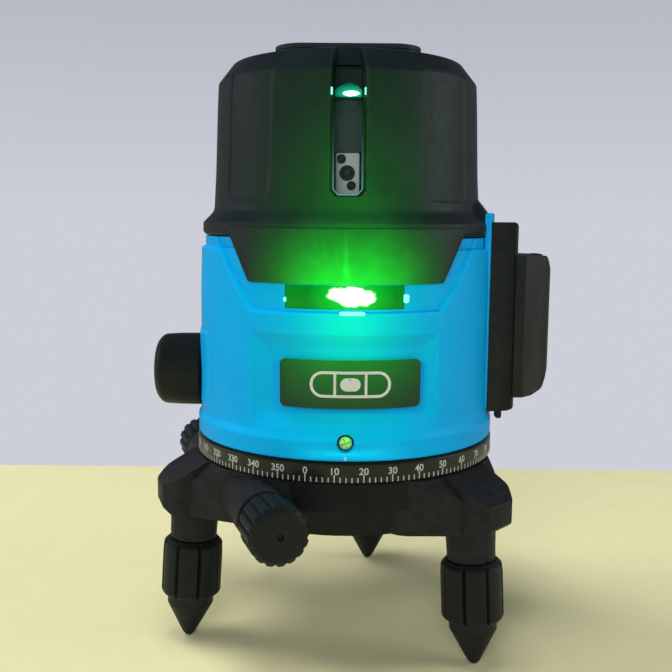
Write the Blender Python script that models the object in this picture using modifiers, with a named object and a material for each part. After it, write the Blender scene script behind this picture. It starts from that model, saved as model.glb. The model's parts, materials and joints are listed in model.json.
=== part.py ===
"""Multi-line self-levelling laser level on a three-foot levelling base.

Sizes are in millimetres and are scaled to metres when geometry is made. +Z is up, z = 0 is the
surface that the feet stand on and -Y is the front. Every object hangs from the empty "device_axis",
which stands on the instrument's turning axis.
"""
import math

import bmesh
import bpy
from mathutils import Matrix, Vector

MM = 0.001
GAP = 0.3                       # air left between touching pieces

# ---- where the turning axis stands in the part's own frame ----
AXIS_X = -1.8
AXIS_Y = 4.8

# ---- instrument, heights above the table ----
BODY_R = 49.5                   # blue housing
SKIRT_R = 50.3                  # its foot, over the dial
HOUSING_Z0 = 69.4
HOUSING_Z1 = 134.9
RIM_Z0 = 131.4                  # plain rim over the raised side panels
CAP_Z0 = 135.2
CAP_FLANGE_R = 48.2
CAP_TOP_Z = 192.6
APRON_Z0 = 122.0
BAND_Z0 = 113.0                 # recessed band that holds the front horizontal window
SLOT_Z0 = 147.0                 # foot of the four vertical laser slots
SLOT_BEND_Z = 176.4             # where each slot turns in over the shoulder
SLOT_HALF = 5.0
FACET_HALF_ANGLE = 13.3         # the cap's recessed diagonal panels
LENS_HALF = 4.6
PAD_Z1 = 143.0                  # housing wall raised behind the battery
PAD_HALF_ANGLE = 20.5

# ---- dial and base ----
DIAL_R = 50.5
DIAL_Z0, DIAL_Z1 = 62.8, 69.0
BASE_R = 49.5
BASE_Z0, BASE_Z1 = 44.3, 62.5
ARM_Z0 = 45.1                   # underside of the arms
CAVITY_R = 37.5
ARM_ANGLES = (79.0, 199.0, 319.0)

# ---- feet ----
FOOT_R = 55.5                   # circle through the three tips
FOOT_SPLAY = 3.5                # degrees, tips outwards
FOOT_WHEEL_R = 9.7
FOOT_LOBES = 8

# ---- fine adjustment ----
WORM_ANGLE = 199.0              # the worm crosses under the front left arm
WORM_RADIUS = 40.0
WORM_Z = 53.5
WHEEL_TEETH = 48
KNOB_R = 8.75
KNOB_LOBES = 16

# ---- pendulum ----
PIVOT_Z = 150.0
BEAM_Z = 175.0                  # the four vertical-line modules
LEVEL_Z = 117.6                 # the horizontal-line module

# ---- lock knob and battery ----
LOCK_Z = 88.7
LOCK_R = 12.4
BATTERY_Z0, BATTERY_Z1 = 83.0, 129.2
HOLDER_Z0, HOLDER_Z1 = 77.3, 140.0

for leftover in list(bpy.data.objects):
    bpy.data.objects.remove(leftover, do_unlink=True)

PARTS = bpy.data.collections.new("laser_level_on_tripod")
CUTTERS = bpy.data.collections.new("cutters")
bpy.context.scene.collection.children.link(PARTS)
bpy.context.scene.collection.children.link(CUTTERS)


# ---------------------------------------------------------------- materials

def material(name, color, roughness, metallic=0.0, alpha=1.0):
    mat = bpy.data.materials.new(name)
    mat.use_nodes = True
    shader = mat.node_tree.nodes["Principled BSDF"]
    shader.inputs["Base Color"].default_value = (*color, 1.0)
    shader.inputs["Roughness"].default_value = roughness
    shader.inputs["Metallic"].default_value = metallic
    shader.inputs["Alpha"].default_value = alpha
    return mat


BLUE = material("blue_plastic", (0.02, 0.36, 0.78), 0.45)
BLACK = material("black_plastic", (0.012, 0.013, 0.015), 0.5)
DIAL_BLACK = material("dial_black", (0.01, 0.01, 0.012), 0.4)
PANEL_GREY = material("panel_grey", (0.05, 0.05, 0.055), 0.6)
RUBBER = material("button_rubber", (0.2, 0.2, 0.21), 0.8)
GLASS = material("window_glass", (0.03, 0.05, 0.045), 0.05, alpha=0.5)
VIAL = material("level_fluid", (0.5, 0.85, 0.2), 0.1, alpha=0.6)
STEEL = material("steel", (0.55, 0.56, 0.58), 0.3, metallic=1.0)
BRASS = material("brass", (0.72, 0.53, 0.25), 0.35, metallic=1.0)
ALUMINIUM = material("aluminium", (0.62, 0.63, 0.65), 0.4, metallic=1.0)
COPPER = material("copper", (0.75, 0.38, 0.24), 0.35, metallic=1.0)
MAGNET = material("magnet", (0.25, 0.25, 0.26), 0.4, metallic=1.0)
BOARD = material("circuit_board", (0.02, 0.16, 0.06), 0.5)


# ---------------------------------------------------------------- helpers

def empty(name, location, rotation=None, parent=None):
    """A parent for the pieces of one axis, with an optional 3x3 rotation."""
    node = bpy.data.objects.new(name, None)
    CUTTERS.objects.link(node)
    frame = rotation.to_4x4() if rotation else Matrix()
    node.matrix_local = Matrix.Translation(Vector(location) * MM) @ frame
    node.parent = parent
    return node


DEVICE = empty("device_axis", (AXIS_X, AXIS_Y, 0.0))


def add(name, mesh, mat=None, parent=None, location=(0, 0, 0), rotation=None):
    """Link a mesh as a part, or as a cutter where it has no material."""
    obj = bpy.data.objects.new(name, mesh)
    (PARTS if mat else CUTTERS).objects.link(obj)
    obj.parent = parent or DEVICE
    frame = rotation.to_4x4() if rotation else Matrix()
    obj.matrix_local = Matrix.Translation(Vector(location) * MM) @ frame
    if mat:
        mesh.materials.append(mat)
    else:
        obj.hide_render = True
        obj.display_type = "WIRE"
    return obj


def axis_rotation(direction):
    """Rotation that turns +Z onto a direction."""
    return Vector((0, 0, 1)).rotation_difference(Vector(direction)).to_matrix()


def radial_rotation(angle):
    """Local X points outwards at the angle, local Y up and local Z sideways."""
    a = math.radians(angle)
    out = Vector((math.cos(a), math.sin(a), 0))
    up = Vector((0, 0, 1))
    return Matrix((out, up, out.cross(up))).transposed()


def polar(radius, angle, z=0.0):
    a = math.radians(angle)
    return (radius * math.cos(a), radius * math.sin(a), z)


def turned(name, profile, mat=None, steps=48, closed=True, **place):
    """Turn a profile of (radius, height), listed down its outer side, about local Z."""
    mesh = bpy.data.meshes.new(name)
    count = len(profile)
    edges = [(i, i + 1) for i in range(count - 1)]
    if closed:
        edges.append((count - 1, 0))
    mesh.from_pydata([(r * MM, 0, z * MM) for r, z in profile], edges, [])
    obj = add(name, mesh, mat, **place)
    screw = obj.modifiers.new("turn", "SCREW")
    screw.axis = "Z"
    screw.angle = 2 * math.pi
    screw.steps = screw.render_steps = steps
    screw.use_merge_vertices = True
    screw.merge_threshold = 1e-6
    return obj


def box(name, low, high, mat=None, bevel=0.0, **place):
    low, high = Vector(low) * MM, Vector(high) * MM
    size = high - low
    bm = bmesh.new()
    shape = Matrix.Translation((low + high) / 2) @ Matrix.Diagonal((*size, 1.0))
    bmesh.ops.create_cube(bm, size=1.0, matrix=shape)
    mesh = bpy.data.meshes.new(name)
    bm.to_mesh(mesh)
    bm.free()
    obj = add(name, mesh, mat, **place)
    if bevel:
        round_edges(obj, bevel)
    return obj


def rod(name, start, end, radius, mat=None, end_radius=None, segments=24, **place):
    """A cylinder or cone between two points."""
    start, end = Vector(start) * MM, Vector(end) * MM
    run = end - start
    shape = Matrix.Translation((start + end) / 2) @ axis_rotation(run).to_4x4()
    bm = bmesh.new()
    bmesh.ops.create_cone(
        bm, cap_ends=True, segments=segments, radius1=radius * MM,
        radius2=(radius if end_radius is None else end_radius) * MM,
        depth=run.length, matrix=shape)
    mesh = bpy.data.meshes.new(name)
    bm.to_mesh(mesh)
    bm.free()
    return add(name, mesh, mat, **place)


def prism(name, outlines, z0, z1, mat=None, **place):
    """Extrude flat outlines (the later ones are holes) from z0 to z1."""
    curve = bpy.data.curves.new(name, "CURVE")
    curve.dimensions = "2D"
    curve.fill_mode = "BOTH"
    curve.extrude = (z1 - z0) / 2 * MM
    for outline in outlines:
        spline = curve.splines.new("POLY")
        spline.points.add(len(outline) - 1)
        for point, (x, y) in zip(spline.points, outline):
            point.co = (x * MM, y * MM, 0, 1)
        spline.use_cyclic_u = True
    source = bpy.data.objects.new(name + "_outline", curve)
    CUTTERS.objects.link(source)
    graph = bpy.context.evaluated_depsgraph_get()
    mesh = bpy.data.meshes.new_from_object(source.evaluated_get(graph))
    bpy.data.objects.remove(source, do_unlink=True)
    bpy.data.curves.remove(curve)
    mesh.materials.clear()
    bm = bmesh.new()
    bm.from_mesh(mesh)
    bmesh.ops.remove_doubles(bm, verts=bm.verts, dist=1e-6)
    bmesh.ops.translate(bm, verts=bm.verts, vec=(0, 0, (z0 + z1) / 2 * MM))
    bmesh.ops.recalc_face_normals(bm, faces=bm.faces)
    bm.to_mesh(mesh)
    bm.free()
    return add(name, mesh, mat, **place)


def side_prism(name, outline, half_width, angle, mat=None):
    """Extrude an outline of (radius, height) sideways at an angle about the axis."""
    return prism(name, [outline], -half_width, half_width, mat, rotation=radial_rotation(angle))


def front_prism(name, outline):
    """Extrude an outline of (x, z) through the front wall of the instrument."""
    turn = Matrix(((1, 0, 0), (0, 0, 1), (0, -1, 0))).transposed()
    return prism(name, [outline], 15.0, 70.0, rotation=turn)


def combine(obj, other, operation):
    mod = obj.modifiers.new(operation.lower(), "BOOLEAN")
    mod.operation = operation
    mod.object = other
    mod.solver = "EXACT"
    return obj


def cut(obj, *cutters):
    for cutter in cutters:
        combine(obj, cutter, "DIFFERENCE")
    return obj


def join(obj, *pieces):
    for piece in pieces:
        combine(obj, piece, "UNION")
    return obj


def keep(obj, *pieces):
    for piece in pieces:
        combine(obj, piece, "INTERSECT")
    return obj


def round_edges(obj, width, segments=2):
    bevel = obj.modifiers.new("bevel", "BEVEL")
    bevel.width = width * MM
    bevel.segments = segments
    bevel.limit_method = "ANGLE"
    bevel.angle_limit = math.radians(30)
    return obj


def rounded_square(half, corner, arc_points=4):
    """Outline of a square with round corners."""
    points = []
    for quarter in range(4):
        a0 = quarter * 90.0
        cx = (half - corner) * (1 if quarter in (0, 3) else -1)
        cy = (half - corner) * (1 if quarter in (0, 1) else -1)
        for i in range(arc_points):
            a = math.radians(a0 + 90.0 * i / (arc_points - 1))
            points.append((cx + corner * math.cos(a), cy + corner * math.sin(a)))
    return points


def circle(radius, count, x=0.0, y=0.0):
    return [(x + radius * math.cos(2 * math.pi * i / count),
             y + radius * math.sin(2 * math.pi * i / count)) for i in range(count)]


def fluted(radius, depth, lobes):
    """Outline of a grip with broad lobes and narrow grooves."""
    points = []
    for i in range(lobes):
        for share, r in ((-0.38, radius - 0.1), (0.0, radius), (0.38, radius - 0.1),
                         (0.5, radius - depth)):
            a = 2 * math.pi * (i + share) / lobes
            points.append((r * math.cos(a), r * math.sin(a)))
    return points


def gear_outline(tip, root, teeth):
    points = []
    for i in range(teeth):
        for share, r in ((-0.3, root), (0.0, tip), (0.3, root)):
            a = 2 * math.pi * (i + share) / teeth
            points.append((r * math.cos(a), r * math.sin(a)))
    return points


# ---------------------------------------------------------------- levelling base

WORM_FRAME = empty(
    "worm_axis", polar(WORM_RADIUS, WORM_ANGLE, WORM_Z),
    axis_rotation((-math.sin(math.radians(WORM_ANGLE)), math.cos(math.radians(WORM_ANGLE)), 0)),
    DEVICE)
BOSS_R = 8.2
BOSS_END = 44.0
BUSH_R = 5.4
BUSH_Z0 = 37.0
BUSH_LENGTH = 6.6
REAR_SHIFT = 3.7                # the rear end of the worm is shorter by this
SLEEVE_Z0 = 34.9
STUD_TOP = 56.0


def foot_frames():
    """One parent per foot: on the tip, with local Z up along the splayed foot."""
    frames = []
    for number, angle in enumerate(ARM_ANGLES, 1):
        lean = math.tan(math.radians(FOOT_SPLAY))
        inwards = Vector(polar(-lean, angle)) + Vector((0, 0, 1))
        frames.append(empty(f"foot_{number}_axis", polar(FOOT_R, angle),
                            axis_rotation(inwards), DEVICE))
    return frames


FEET = foot_frames()


def tribrach():
    core = turned("tribrach", [
        (0, BASE_Z1), (BASE_R, BASE_Z1), (BASE_R, 53.5), (44.0, BASE_Z0), (0, BASE_Z0),
    ], BLACK, closed=False)
    arm_side = [(38, ARM_Z0), (61.8, ARM_Z0), (64.4, 47.2), (64.4, 54.2), (62.2, 56.0),
                (51.0, BASE_Z1 - 0.2), (38, BASE_Z1 - 0.2)]
    arm_half = [(30, -10.6), (59.6, -10.6), (64.5, -5.8)]
    arm_plan = arm_half + [(s, -p) for s, p in reversed(arm_half)]
    root_half = [(30, -24.0), (43.0, -23.2), (57.5, -10.4)]
    root_plan = root_half + [(s, -p) for s, p in reversed(root_half)]
    for angle, frame in zip(ARM_ANGLES, FEET):
        turn = Matrix.Rotation(math.radians(angle), 3, "Z")
        arm = side_prism(f"arm_{angle:.0f}", arm_side, 12.0, angle)
        keep(arm, prism(f"arm_plan_{angle:.0f}", [arm_plan], 40.0, 70.0, rotation=turn))
        root = prism(f"arm_root_{angle:.0f}", [root_plan], ARM_Z0, BASE_Z1, rotation=turn)
        slope = turned(f"root_slope_{angle:.0f}", [
            (0, BASE_Z1 - 0.2), (50.0, BASE_Z1 - 0.2), (58.5, 55.0), (58.5, BASE_Z0 - 1),
            (0, BASE_Z0 - 1)], closed=False, steps=36)
        keep(root, slope)
        sleeve = rod(f"sleeve_{angle:.0f}", (0, 0, SLEEVE_Z0), (0, 0, 50.0), 7.6,
                     end_radius=8.1, segments=20, parent=frame)
        join(core, root, arm, sleeve)
    join(core, rod("worm_boss", (0, 0, REAR_SHIFT - BOSS_END), (0, 0, BOSS_END), BOSS_R,
                   segments=20, parent=WORM_FRAME))
    top = BASE_Z1 + 1.0
    cavity = turned("base_cavity", [
        (0, top), (CAVITY_R, top), (CAVITY_R, 49.5), (16.0, 49.5), (16.0, 59.5),
        (11.5, 59.5), (11.5, BASE_Z0 - 1.0), (0, BASE_Z0 - 1.0)], closed=False, steps=36)
    bore = rod("worm_bore", (0, 0, -50), (0, 0, 50), 4.5, segments=16, parent=WORM_FRAME)
    seat_front = rod("bush_seat_front", (0, 0, BUSH_Z0 - GAP), (0, 0, 50), BUSH_R + 0.25,
                     segments=16, parent=WORM_FRAME)
    seat_rear = rod("bush_seat_rear", (0, 0, -50), (0, 0, REAR_SHIFT - BUSH_Z0 + GAP),
                    BUSH_R + 0.25, segments=16, parent=WORM_FRAME)
    cut(core, cavity, bore, seat_front, seat_rear)
    for number, frame in enumerate(FEET, 1):
        cut(core, rod(f"stud_bore_{number}", (0, 0, 30), (0, 0, STUD_TOP + 0.6), 4.5,
                      segments=16, parent=frame))


def base_fittings():
    turned("dial_ring", [
        (DIAL_R, DIAL_Z1), (DIAL_R, DIAL_Z0), (32.0, DIAL_Z0), (32.0, 66.0),
        (45.5, 66.0), (45.5, DIAL_Z1)], DIAL_BLACK)
    turned("thread_insert", [
        (11.2, 58.8), (11.2, BASE_Z0), (7.2, BASE_Z0), (7.2, 58.8)], BRASS, steps=24)
    rear_z0 = REAR_SHIFT - BUSH_Z0 - BUSH_LENGTH
    for name, z0 in (("worm_bush_front", BUSH_Z0), ("worm_bush_rear", rear_z0)):
        z1 = z0 + BUSH_LENGTH
        turned(name, [(BUSH_R, z1), (BUSH_R, z0), (2.75, z0), (2.75, z1)], BRASS, steps=16,
               parent=WORM_FRAME)


def worm_drive():
    gear = gear_outline(36.2, 35.0, WHEEL_TEETH)
    prism("worm_wheel", [gear, circle(22.0, 24)], 50.1, 56.8, BRASS)
    turned("clutch_ring", [(30.0, 58.6), (30.0, 57.1), (22.4, 57.1), (22.4, 58.6)],
           PANEL_GREY, steps=24)
    pitch = 2 * math.pi * 36.1 / WHEEL_TEETH
    shaft = [(0, 59.0), (2.3, 59.0)]
    for i in range(2, -3, -1):
        shaft += [(2.5, (i + 0.4) * pitch), (3.55, (i + 0.2) * pitch),
                  (3.55, (i - 0.2) * pitch), (2.5, (i - 0.4) * pitch)]
    shaft += [(2.3, REAR_SHIFT - 59.0), (0, REAR_SHIFT - 59.0)]
    turned("worm_shaft", shaft, STEEL, steps=16, closed=False, parent=WORM_FRAME)
    for name, shift, half_turn in (("fine_knob_front", 0.0, 0.0),
                                   ("fine_knob_rear", REAR_SHIFT, math.pi)):
        place = dict(parent=WORM_FRAME, location=(0, 0, shift),
                     rotation=Matrix.Rotation(half_turn, 3, "X"))
        knob = prism(name, [fluted(KNOB_R, 0.7, KNOB_LOBES)], 46.0, 61.5, BLACK, **place)
        outline = turned(name + "_outline", [
            (0, 61.5), (7.5, 61.5), (8.8, 59.6), (8.8, 49.5), (7.9, 46.0), (0, 46.0)],
            closed=False, steps=20, **place)
        keep(knob, outline)
        cut(knob, rod(name + "_bore", (0, 0, 40), (0, 0, 59.4), 2.6, segments=16, **place))


def feet():
    for number, frame in enumerate(FEET, 1):
        turned(f"foot_tip_{number}", [
            (0, 19.0), (2.4, 19.0), (2.4, 14.9), (7.6, 14.9), (7.5, 11.3), (1.8, 1.0),
            (0, 0)], BLACK, closed=False, steps=20, parent=frame)
        turned(f"foot_stud_{number}", [
            (0, STUD_TOP), (3.3, STUD_TOP), (4.0, STUD_TOP - 0.8), (4.0, 21.4), (0, 21.4)],
            STEEL, closed=False, steps=16, parent=frame)
        wheel = prism(f"foot_wheel_{number}", [fluted(FOOT_WHEEL_R, 1.5, FOOT_LOBES)],
                      15.2, 34.5, BLACK, parent=frame)
        outline = turned(f"foot_outline_{number}", [
            (0, 34.5), (8.3, 34.5), (9.8, 32.3), (9.8, 16.3), (9.0, 15.2), (0, 15.2)],
            closed=False, steps=20, parent=frame)
        keep(wheel, outline)
        cut(wheel,
            rod(f"wheel_bore_{number}", (0, 0, 21.1), (0, 0, 40), 4.3, segments=16,
                parent=frame),
            rod(f"pin_bore_{number}", (0, 0, 10), (0, 0, 19.3), 2.7, segments=16,
                parent=frame))


# ---------------------------------------------------------------- instrument: housings

def trapezoid(grow):
    """Front outline of the black apron, grown all round."""
    return [(-29.8 - grow, APRON_Z0 - grow), (29.8 + grow, APRON_Z0 - grow),
            (37.4 + grow * 1.3, 137.5), (-37.4 - grow * 1.3, 137.5)]


def sector(name, r0, r1, z0, z1, angle, half_angle, foot_radius=None):
    """A block between two radii that spans an angle; its inside may widen to a foot radius."""
    ring = turned(name, [(r1, z1), (r1, z0), (foot_radius or r0, z0), (r0, z1)])
    reach = 70.0
    half = reach * math.tan(math.radians(half_angle))
    wedge = prism(name + "_wedge", [[(0, 0), (reach, -half), (reach, half)]], z0 - 1, z1 + 1,
                  rotation=Matrix.Rotation(math.radians(angle), 3, "Z"))
    return keep(ring, wedge)


def lower_housing():
    shell = turned("lower_housing", [
        (47.4, HOUSING_Z1), (47.4, RIM_Z0), (48.7, RIM_Z0 - 0.4), (49.1, 118.0), (BODY_R, 106.0), (BODY_R, 78.0),
        (SKIRT_R, 75.5), (SKIRT_R, HOUSING_Z0), (47.0, HOUSING_Z0), (47.0, 110.0),
        (46.2, HOUSING_Z1)], BLUE)
    join(shell, sector("battery_pad", 48.1, 49.7, 120.0, PAD_Z1, 0.0, PAD_HALF_ANGLE))
    groove_outline = [(-29.0, BAND_Z0), (29.0, BAND_Z0), (34.0, APRON_Z0 - 1.5),
                      (42.4, 137.0), (-42.4, 137.0), (-34.0, APRON_Z0 - 1.5)]
    groove = turned("groove_ring", [(60, 138), (60, 110), (48.0, 110), (48.0, 138)])
    keep(groove, front_prism("groove_front", groove_outline))
    panel = turned("panel_ring", [(60, 106.4), (60, 83), (48.8, 83), (48.8, 106.4)])
    keep(panel, box("panel_front", (-28.4, -70, 80), (27.8, -15, 110)))
    label = turned("label_ring", [(60, 99.8), (60, 84.7), (48.0, 84.7), (48.0, 99.8)],
                   steps=60)
    keep(label, box("label_front", (-20.0, -70, 80), (22.6, -15, 110)))
    cut(shell, front_prism("apron_notch", trapezoid(0.4)), groove, panel, label,
        box("window_notch", (-18.3, -70, 113.9), (17.3, -20, 122.5)),
        rod("screw_recess", (0, -60, 74.5), (0, -48.0, 74.5), 2.65),
        rod("screw_hole", (0, -60, 74.5), (0, -40, 74.5), 1.5),
        rod("lock_recess", (-70, 0, LOCK_Z), (-48.3, 0, LOCK_Z), LOCK_R + 1.2, segments=32),
        rod("lock_hole", (-70, 0, LOCK_Z), (-40, 0, LOCK_Z), 3.0))


def slot_pocket(index):
    """Walls round one vertical laser slot, inside the cap."""
    outline = [(41.4, 144.8), (33.9, 144.8), (33.9, 174.6), (25.6, 188.6), (25.6, 191.3),
               (33.0, 189.6), (37.2, 188.6), (40.8, 184.0)]
    return side_prism(f"slot_pocket_{index}", outline, 6.8, 90.0 * index)


def slot_channel(index):
    outline = [(60, SLOT_Z0), (39.4, SLOT_Z0), (39.4, SLOT_BEND_Z), (29.6, 193.0),
               (29.6, 200), (60, 200)]
    return side_prism(f"slot_channel_{index}", outline, SLOT_HALF, 90.0 * index)


def slot_light(index):
    bend = SLOT_BEND_Z - 0.6
    outline = [(60, SLOT_Z0 + 0.4), (20, SLOT_Z0 + 0.4), (20, bend), (60, bend)]
    lower = side_prism(f"slot_light_{index}", outline, LENS_HALF, 90.0 * index)
    slanted = [(20, bend), (20, 187.6), (45.0, 187.6), (45.0, bend)]
    return join(lower, side_prism(f"slot_top_{index}", slanted, LENS_HALF, 90.0 * index))


def upper_cap():
    cap = turned("upper_cap", [
        (0, 192.5), (27.0, 192.5), (37.8, 190.2), (42.7, 183.9), (43.1, 176.0), (43.8, 155.0),
        (44.5, 142.6), (CAP_FLANGE_R, 139.0), (CAP_FLANGE_R, 136.4), (47.3, CAP_Z0),
        (0, CAP_Z0)], BLACK, closed=False)
    join(cap, prism("top_boss", [rounded_square(22.9, 9.0)], 188.5, CAP_TOP_Z))
    wedge = turned("pad_backing", [
        (43.0, 148.0), (47.6, PAD_Z1 + 0.3), (47.6, 137.0), (42.8, 137.0)])
    keep(wedge, prism("pad_backing_wedge", [[(0, 0), (70, -27.0), (70, 27.0)]], 130, 150))
    join(cap, wedge)
    inside = turned("cap_inside", [
        (0, 190.2), (25.0, 190.2), (36.4, 187.2), (40.2, 182.2), (41.2, 155.0), (42.0, 142.0),
        (44.0, 134.0), (0, 134.0)], closed=False, steps=36)
    relief = sector("pad_relief", 47.7, 60.0, 130.0, PAD_Z1 + 0.3, 0.0, PAD_HALF_ANGLE + 0.8)
    cut(cap, inside, relief)
    for index in range(4):
        cut(cap, sector(f"facet_{index}", 41.9, 60.0, 146.0, 183.0, 45.0 + 90.0 * index,
                        FACET_HALF_ANGLE, foot_radius=43.5))
        join(cap, slot_pocket(index))
    for index in range(4):
        cut(cap, slot_channel(index), slot_light(index))
    apron = turned("apron", [(48.4, 138.0), (48.4, APRON_Z0), (46.6, APRON_Z0), (46.6, 138.0)],
                   steps=60)
    keep(apron, front_prism("apron_front", trapezoid(0.0)))
    join(cap, apron)
    cut(cap, prism("top_opening", [rounded_square(19.4, 6.0)], 186.0, 200.0))


def windows():
    for index, side in enumerate(("right", "back", "left", "front")):
        outline = [(39.0, SLOT_Z0 + 0.6), (37.4, SLOT_Z0 + 0.6), (37.4, SLOT_BEND_Z - 1.4),
                   (31.6, 185.6), (33.2, 185.6), (39.0, SLOT_BEND_Z - 1.1)]
        side_prism(f"window_{side}", list(reversed(outline)), LENS_HALF - 0.25, 90.0 * index,
                   GLASS)
    pane = turned("horizontal_window", [(47.7, 121.2), (47.7, 114.2), (45.9, 114.2),
                                        (45.9, 121.2)], GLASS)
    keep(pane, box("pane_front", (-18.0, -70, 110), (17.0, -15, 125)))
    label = turned("label_plate", [(49.2, 99.5), (49.2, 85.0), (48.3, 85.0), (48.3, 99.5)],
                   DIAL_BLACK)
    keep(label, box("label_keep", (-19.7, -70, 80), (22.3, -15, 110)))


def top_panel():
    panel = prism("top_panel", [rounded_square(23.2, 9.0)], CAP_TOP_Z + GAP, 194.4, PANEL_GREY)
    vial_x, vial_y, vial_r = 0.0, 6.0, 7.5
    holes = [rod("vial_hole", (vial_x, vial_y, 185), (vial_x, vial_y, 200), vial_r + 0.3)]
    for number, x in enumerate((-12.0, 0.0, 12.0), 1):
        place = dict(location=(x, -12.0, 193.3))
        turned(f"button_{number}", [(0, 1.8), (3.6, 1.8), (4.0, 1.4), (4.0, -1.4), (0, -1.4)],
               RUBBER, closed=False, steps=16, **place)
        holes.append(rod(f"button_hole_{number}", (x, -12, 185), (x, -12, 200), 4.5,
                         segments=16))
    cut(panel, *holes)
    place = dict(location=(vial_x, vial_y, 0.0))
    turned("level_vial_body", [(0, 191.2), (5.4, 191.2), (5.4, 194.9), (vial_r, 194.9),
                               (vial_r, 190.2), (0, 190.2)], BLACK, closed=False, steps=24,
           **place)
    turned("level_vial_glass", [(0, 194.9), (5.1, 194.6), (5.1, 191.5), (0, 191.5)], VIAL,
           closed=False, steps=24, **place)


def front_screw():
    """Pan head in its counterbore, with the shank reaching into the chassis rim."""
    turned("front_screw", [
        (0, 49.3), (1.5, 49.2), (2.25, 48.3), (1.25, 48.3), (1.25, 43.6), (0, 43.6)],
        STEEL, closed=False, steps=20, location=(0, 0, 74.5),
        rotation=axis_rotation((0, -1, 0)))


# ---------------------------------------------------------------- instrument: frame inside

def hub_and_chassis():
    turned("hub_spindle", [
        (26.0, 69.5), (26.0, 62.2), (30.0, 62.2), (30.0, 58.9), (21.6, 58.9), (21.6, 50.1),
        (16.4, 50.1), (16.4, 60.1), (8.0, 60.1), (8.0, 69.5)], ALUMINIUM, steps=24)
    chassis = turned("chassis", [
        (46.5, 79.0), (46.5, 69.8), (8.0, 69.8), (8.0, 73.5), (42.5, 73.5), (42.5, 79.0)],
        ALUMINIUM, steps=32)
    for side in (-1, 1):
        low = (27.5 * side, -6, 72.5) if side > 0 else (-32.5, -6, 72.5)
        high = (32.5 * side, 6, 156) if side > 0 else (-27.5, 6, 156)
        join(chassis, box(f"post_{side}", low, high))
    cut(chassis,
        rod("post_bore", (-50, 0, PIVOT_Z), (50, 0, PIVOT_Z), 4.75),
        rod("chassis_screw_hole", (0, -50, 74.5), (0, -40, 74.5), 1.5),
        rod("lock_shaft_way", (-40, 0, LOCK_Z), (-20, 0, LOCK_Z), 3.2))
    turned("magnet_ring", [(21.0, 77.3), (21.0, 73.9), (12.0, 73.9), (12.0, 77.3)], MAGNET,
           steps=20)
    box("circuit_board", (-22, 36.0, 81), (22, 37.6, 125), BOARD)


def pendulum():
    hub = box("gimbal_cross", (-3.2, -3.2, PIVOT_Z - 3.2), (3.2, 3.2, PIVOT_Z + 3.2), STEEL)
    join(hub,
         rod("cross_x", (-32, 0, PIVOT_Z), (32, 0, PIVOT_Z), 2.0, segments=16),
         rod("cross_y", (0, -14.8, PIVOT_Z), (0, 14.8, PIVOT_Z), 2.0, segments=16))
    for name, way, start, end in (
            ("gimbal_bearing_right", (1, 0, 0), 28.5, 31.5),
            ("gimbal_bearing_left", (-1, 0, 0), 28.5, 31.5),
            ("pendulum_bearing_front", (0, -1, 0), 12.0, 15.0),
            ("pendulum_bearing_rear", (0, 1, 0), 12.0, 15.0)):
        turned(name, [(4.5, end), (4.5, start), (2.1, start), (2.1, end)], STEEL, steps=12,
               location=(0, 0, PIVOT_Z), rotation=axis_rotation(way))
    frame = box("pendulum_frame", (-10, -15, 84), (10, 15, 104), ALUMINIUM)
    join(frame,
         box("hanger_front", (-8, -15, 100), (8, -12, 167)),
         box("hanger_rear", (-8, 12, 100), (8, 15, 167)),
         box("deck", (-15, -15, 165.5), (15, 15, 168.7)))
    cut(frame,
        rod("inner_bore", (0, -20, PIVOT_Z), (0, 20, PIVOT_Z), 4.75),
        rod("plumb_bore", (0, 0, 80), (0, 0, 110), 6.4))
    rod("plumb_laser", (0, 0, 86), (0, 0, 108), 6.0, BRASS)
    turned("damper_disc", [(20.0, 82.6), (20.0, 80.2), (7.0, 80.2), (7.0, 82.6)], COPPER,
           steps=20)
    for index, side in enumerate(("right", "back", "left", "front")):
        inner, outer = polar(6.6, 90 * index, BEAM_Z), polar(24.0, 90 * index, BEAM_Z)
        rod(f"line_laser_{side}", inner, outer, 6.0, BRASS, segments=20)
    rod("horizontal_laser", (0, -15.3, LEVEL_Z), (0, -31.0, LEVEL_Z), 6.5, BRASS, segments=20)
    rod("balance_weight", (0, 15.3, LEVEL_Z), (0, 31.0, LEVEL_Z), 6.5, BRASS, segments=20)


# ---------------------------------------------------------------- lock and battery

def lock():
    place = dict(location=(0, 0, LOCK_Z), rotation=axis_rotation((-1, 0, 0)))
    knob = turned("lock_knob", [
        (0, 65.5), (5.0, 65.35), (9.2, 64.8), (11.2, 63.9), (LOCK_R - 0.4, 62.0),
        (LOCK_R, 59.0), (LOCK_R, 49.0), (0, 49.0)], BLACK, closed=False, steps=28, **place)
    cut(knob, rod("lock_knob_bore", (-40, 0, LOCK_Z), (-58.3, 0, LOCK_Z), 2.85))
    turned("lock_shaft", [
        (0, 58.0), (2.5, 58.0), (2.5, 27.9), (0, 27.9)], STEEL,
        closed=False, steps=20, **place)


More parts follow.
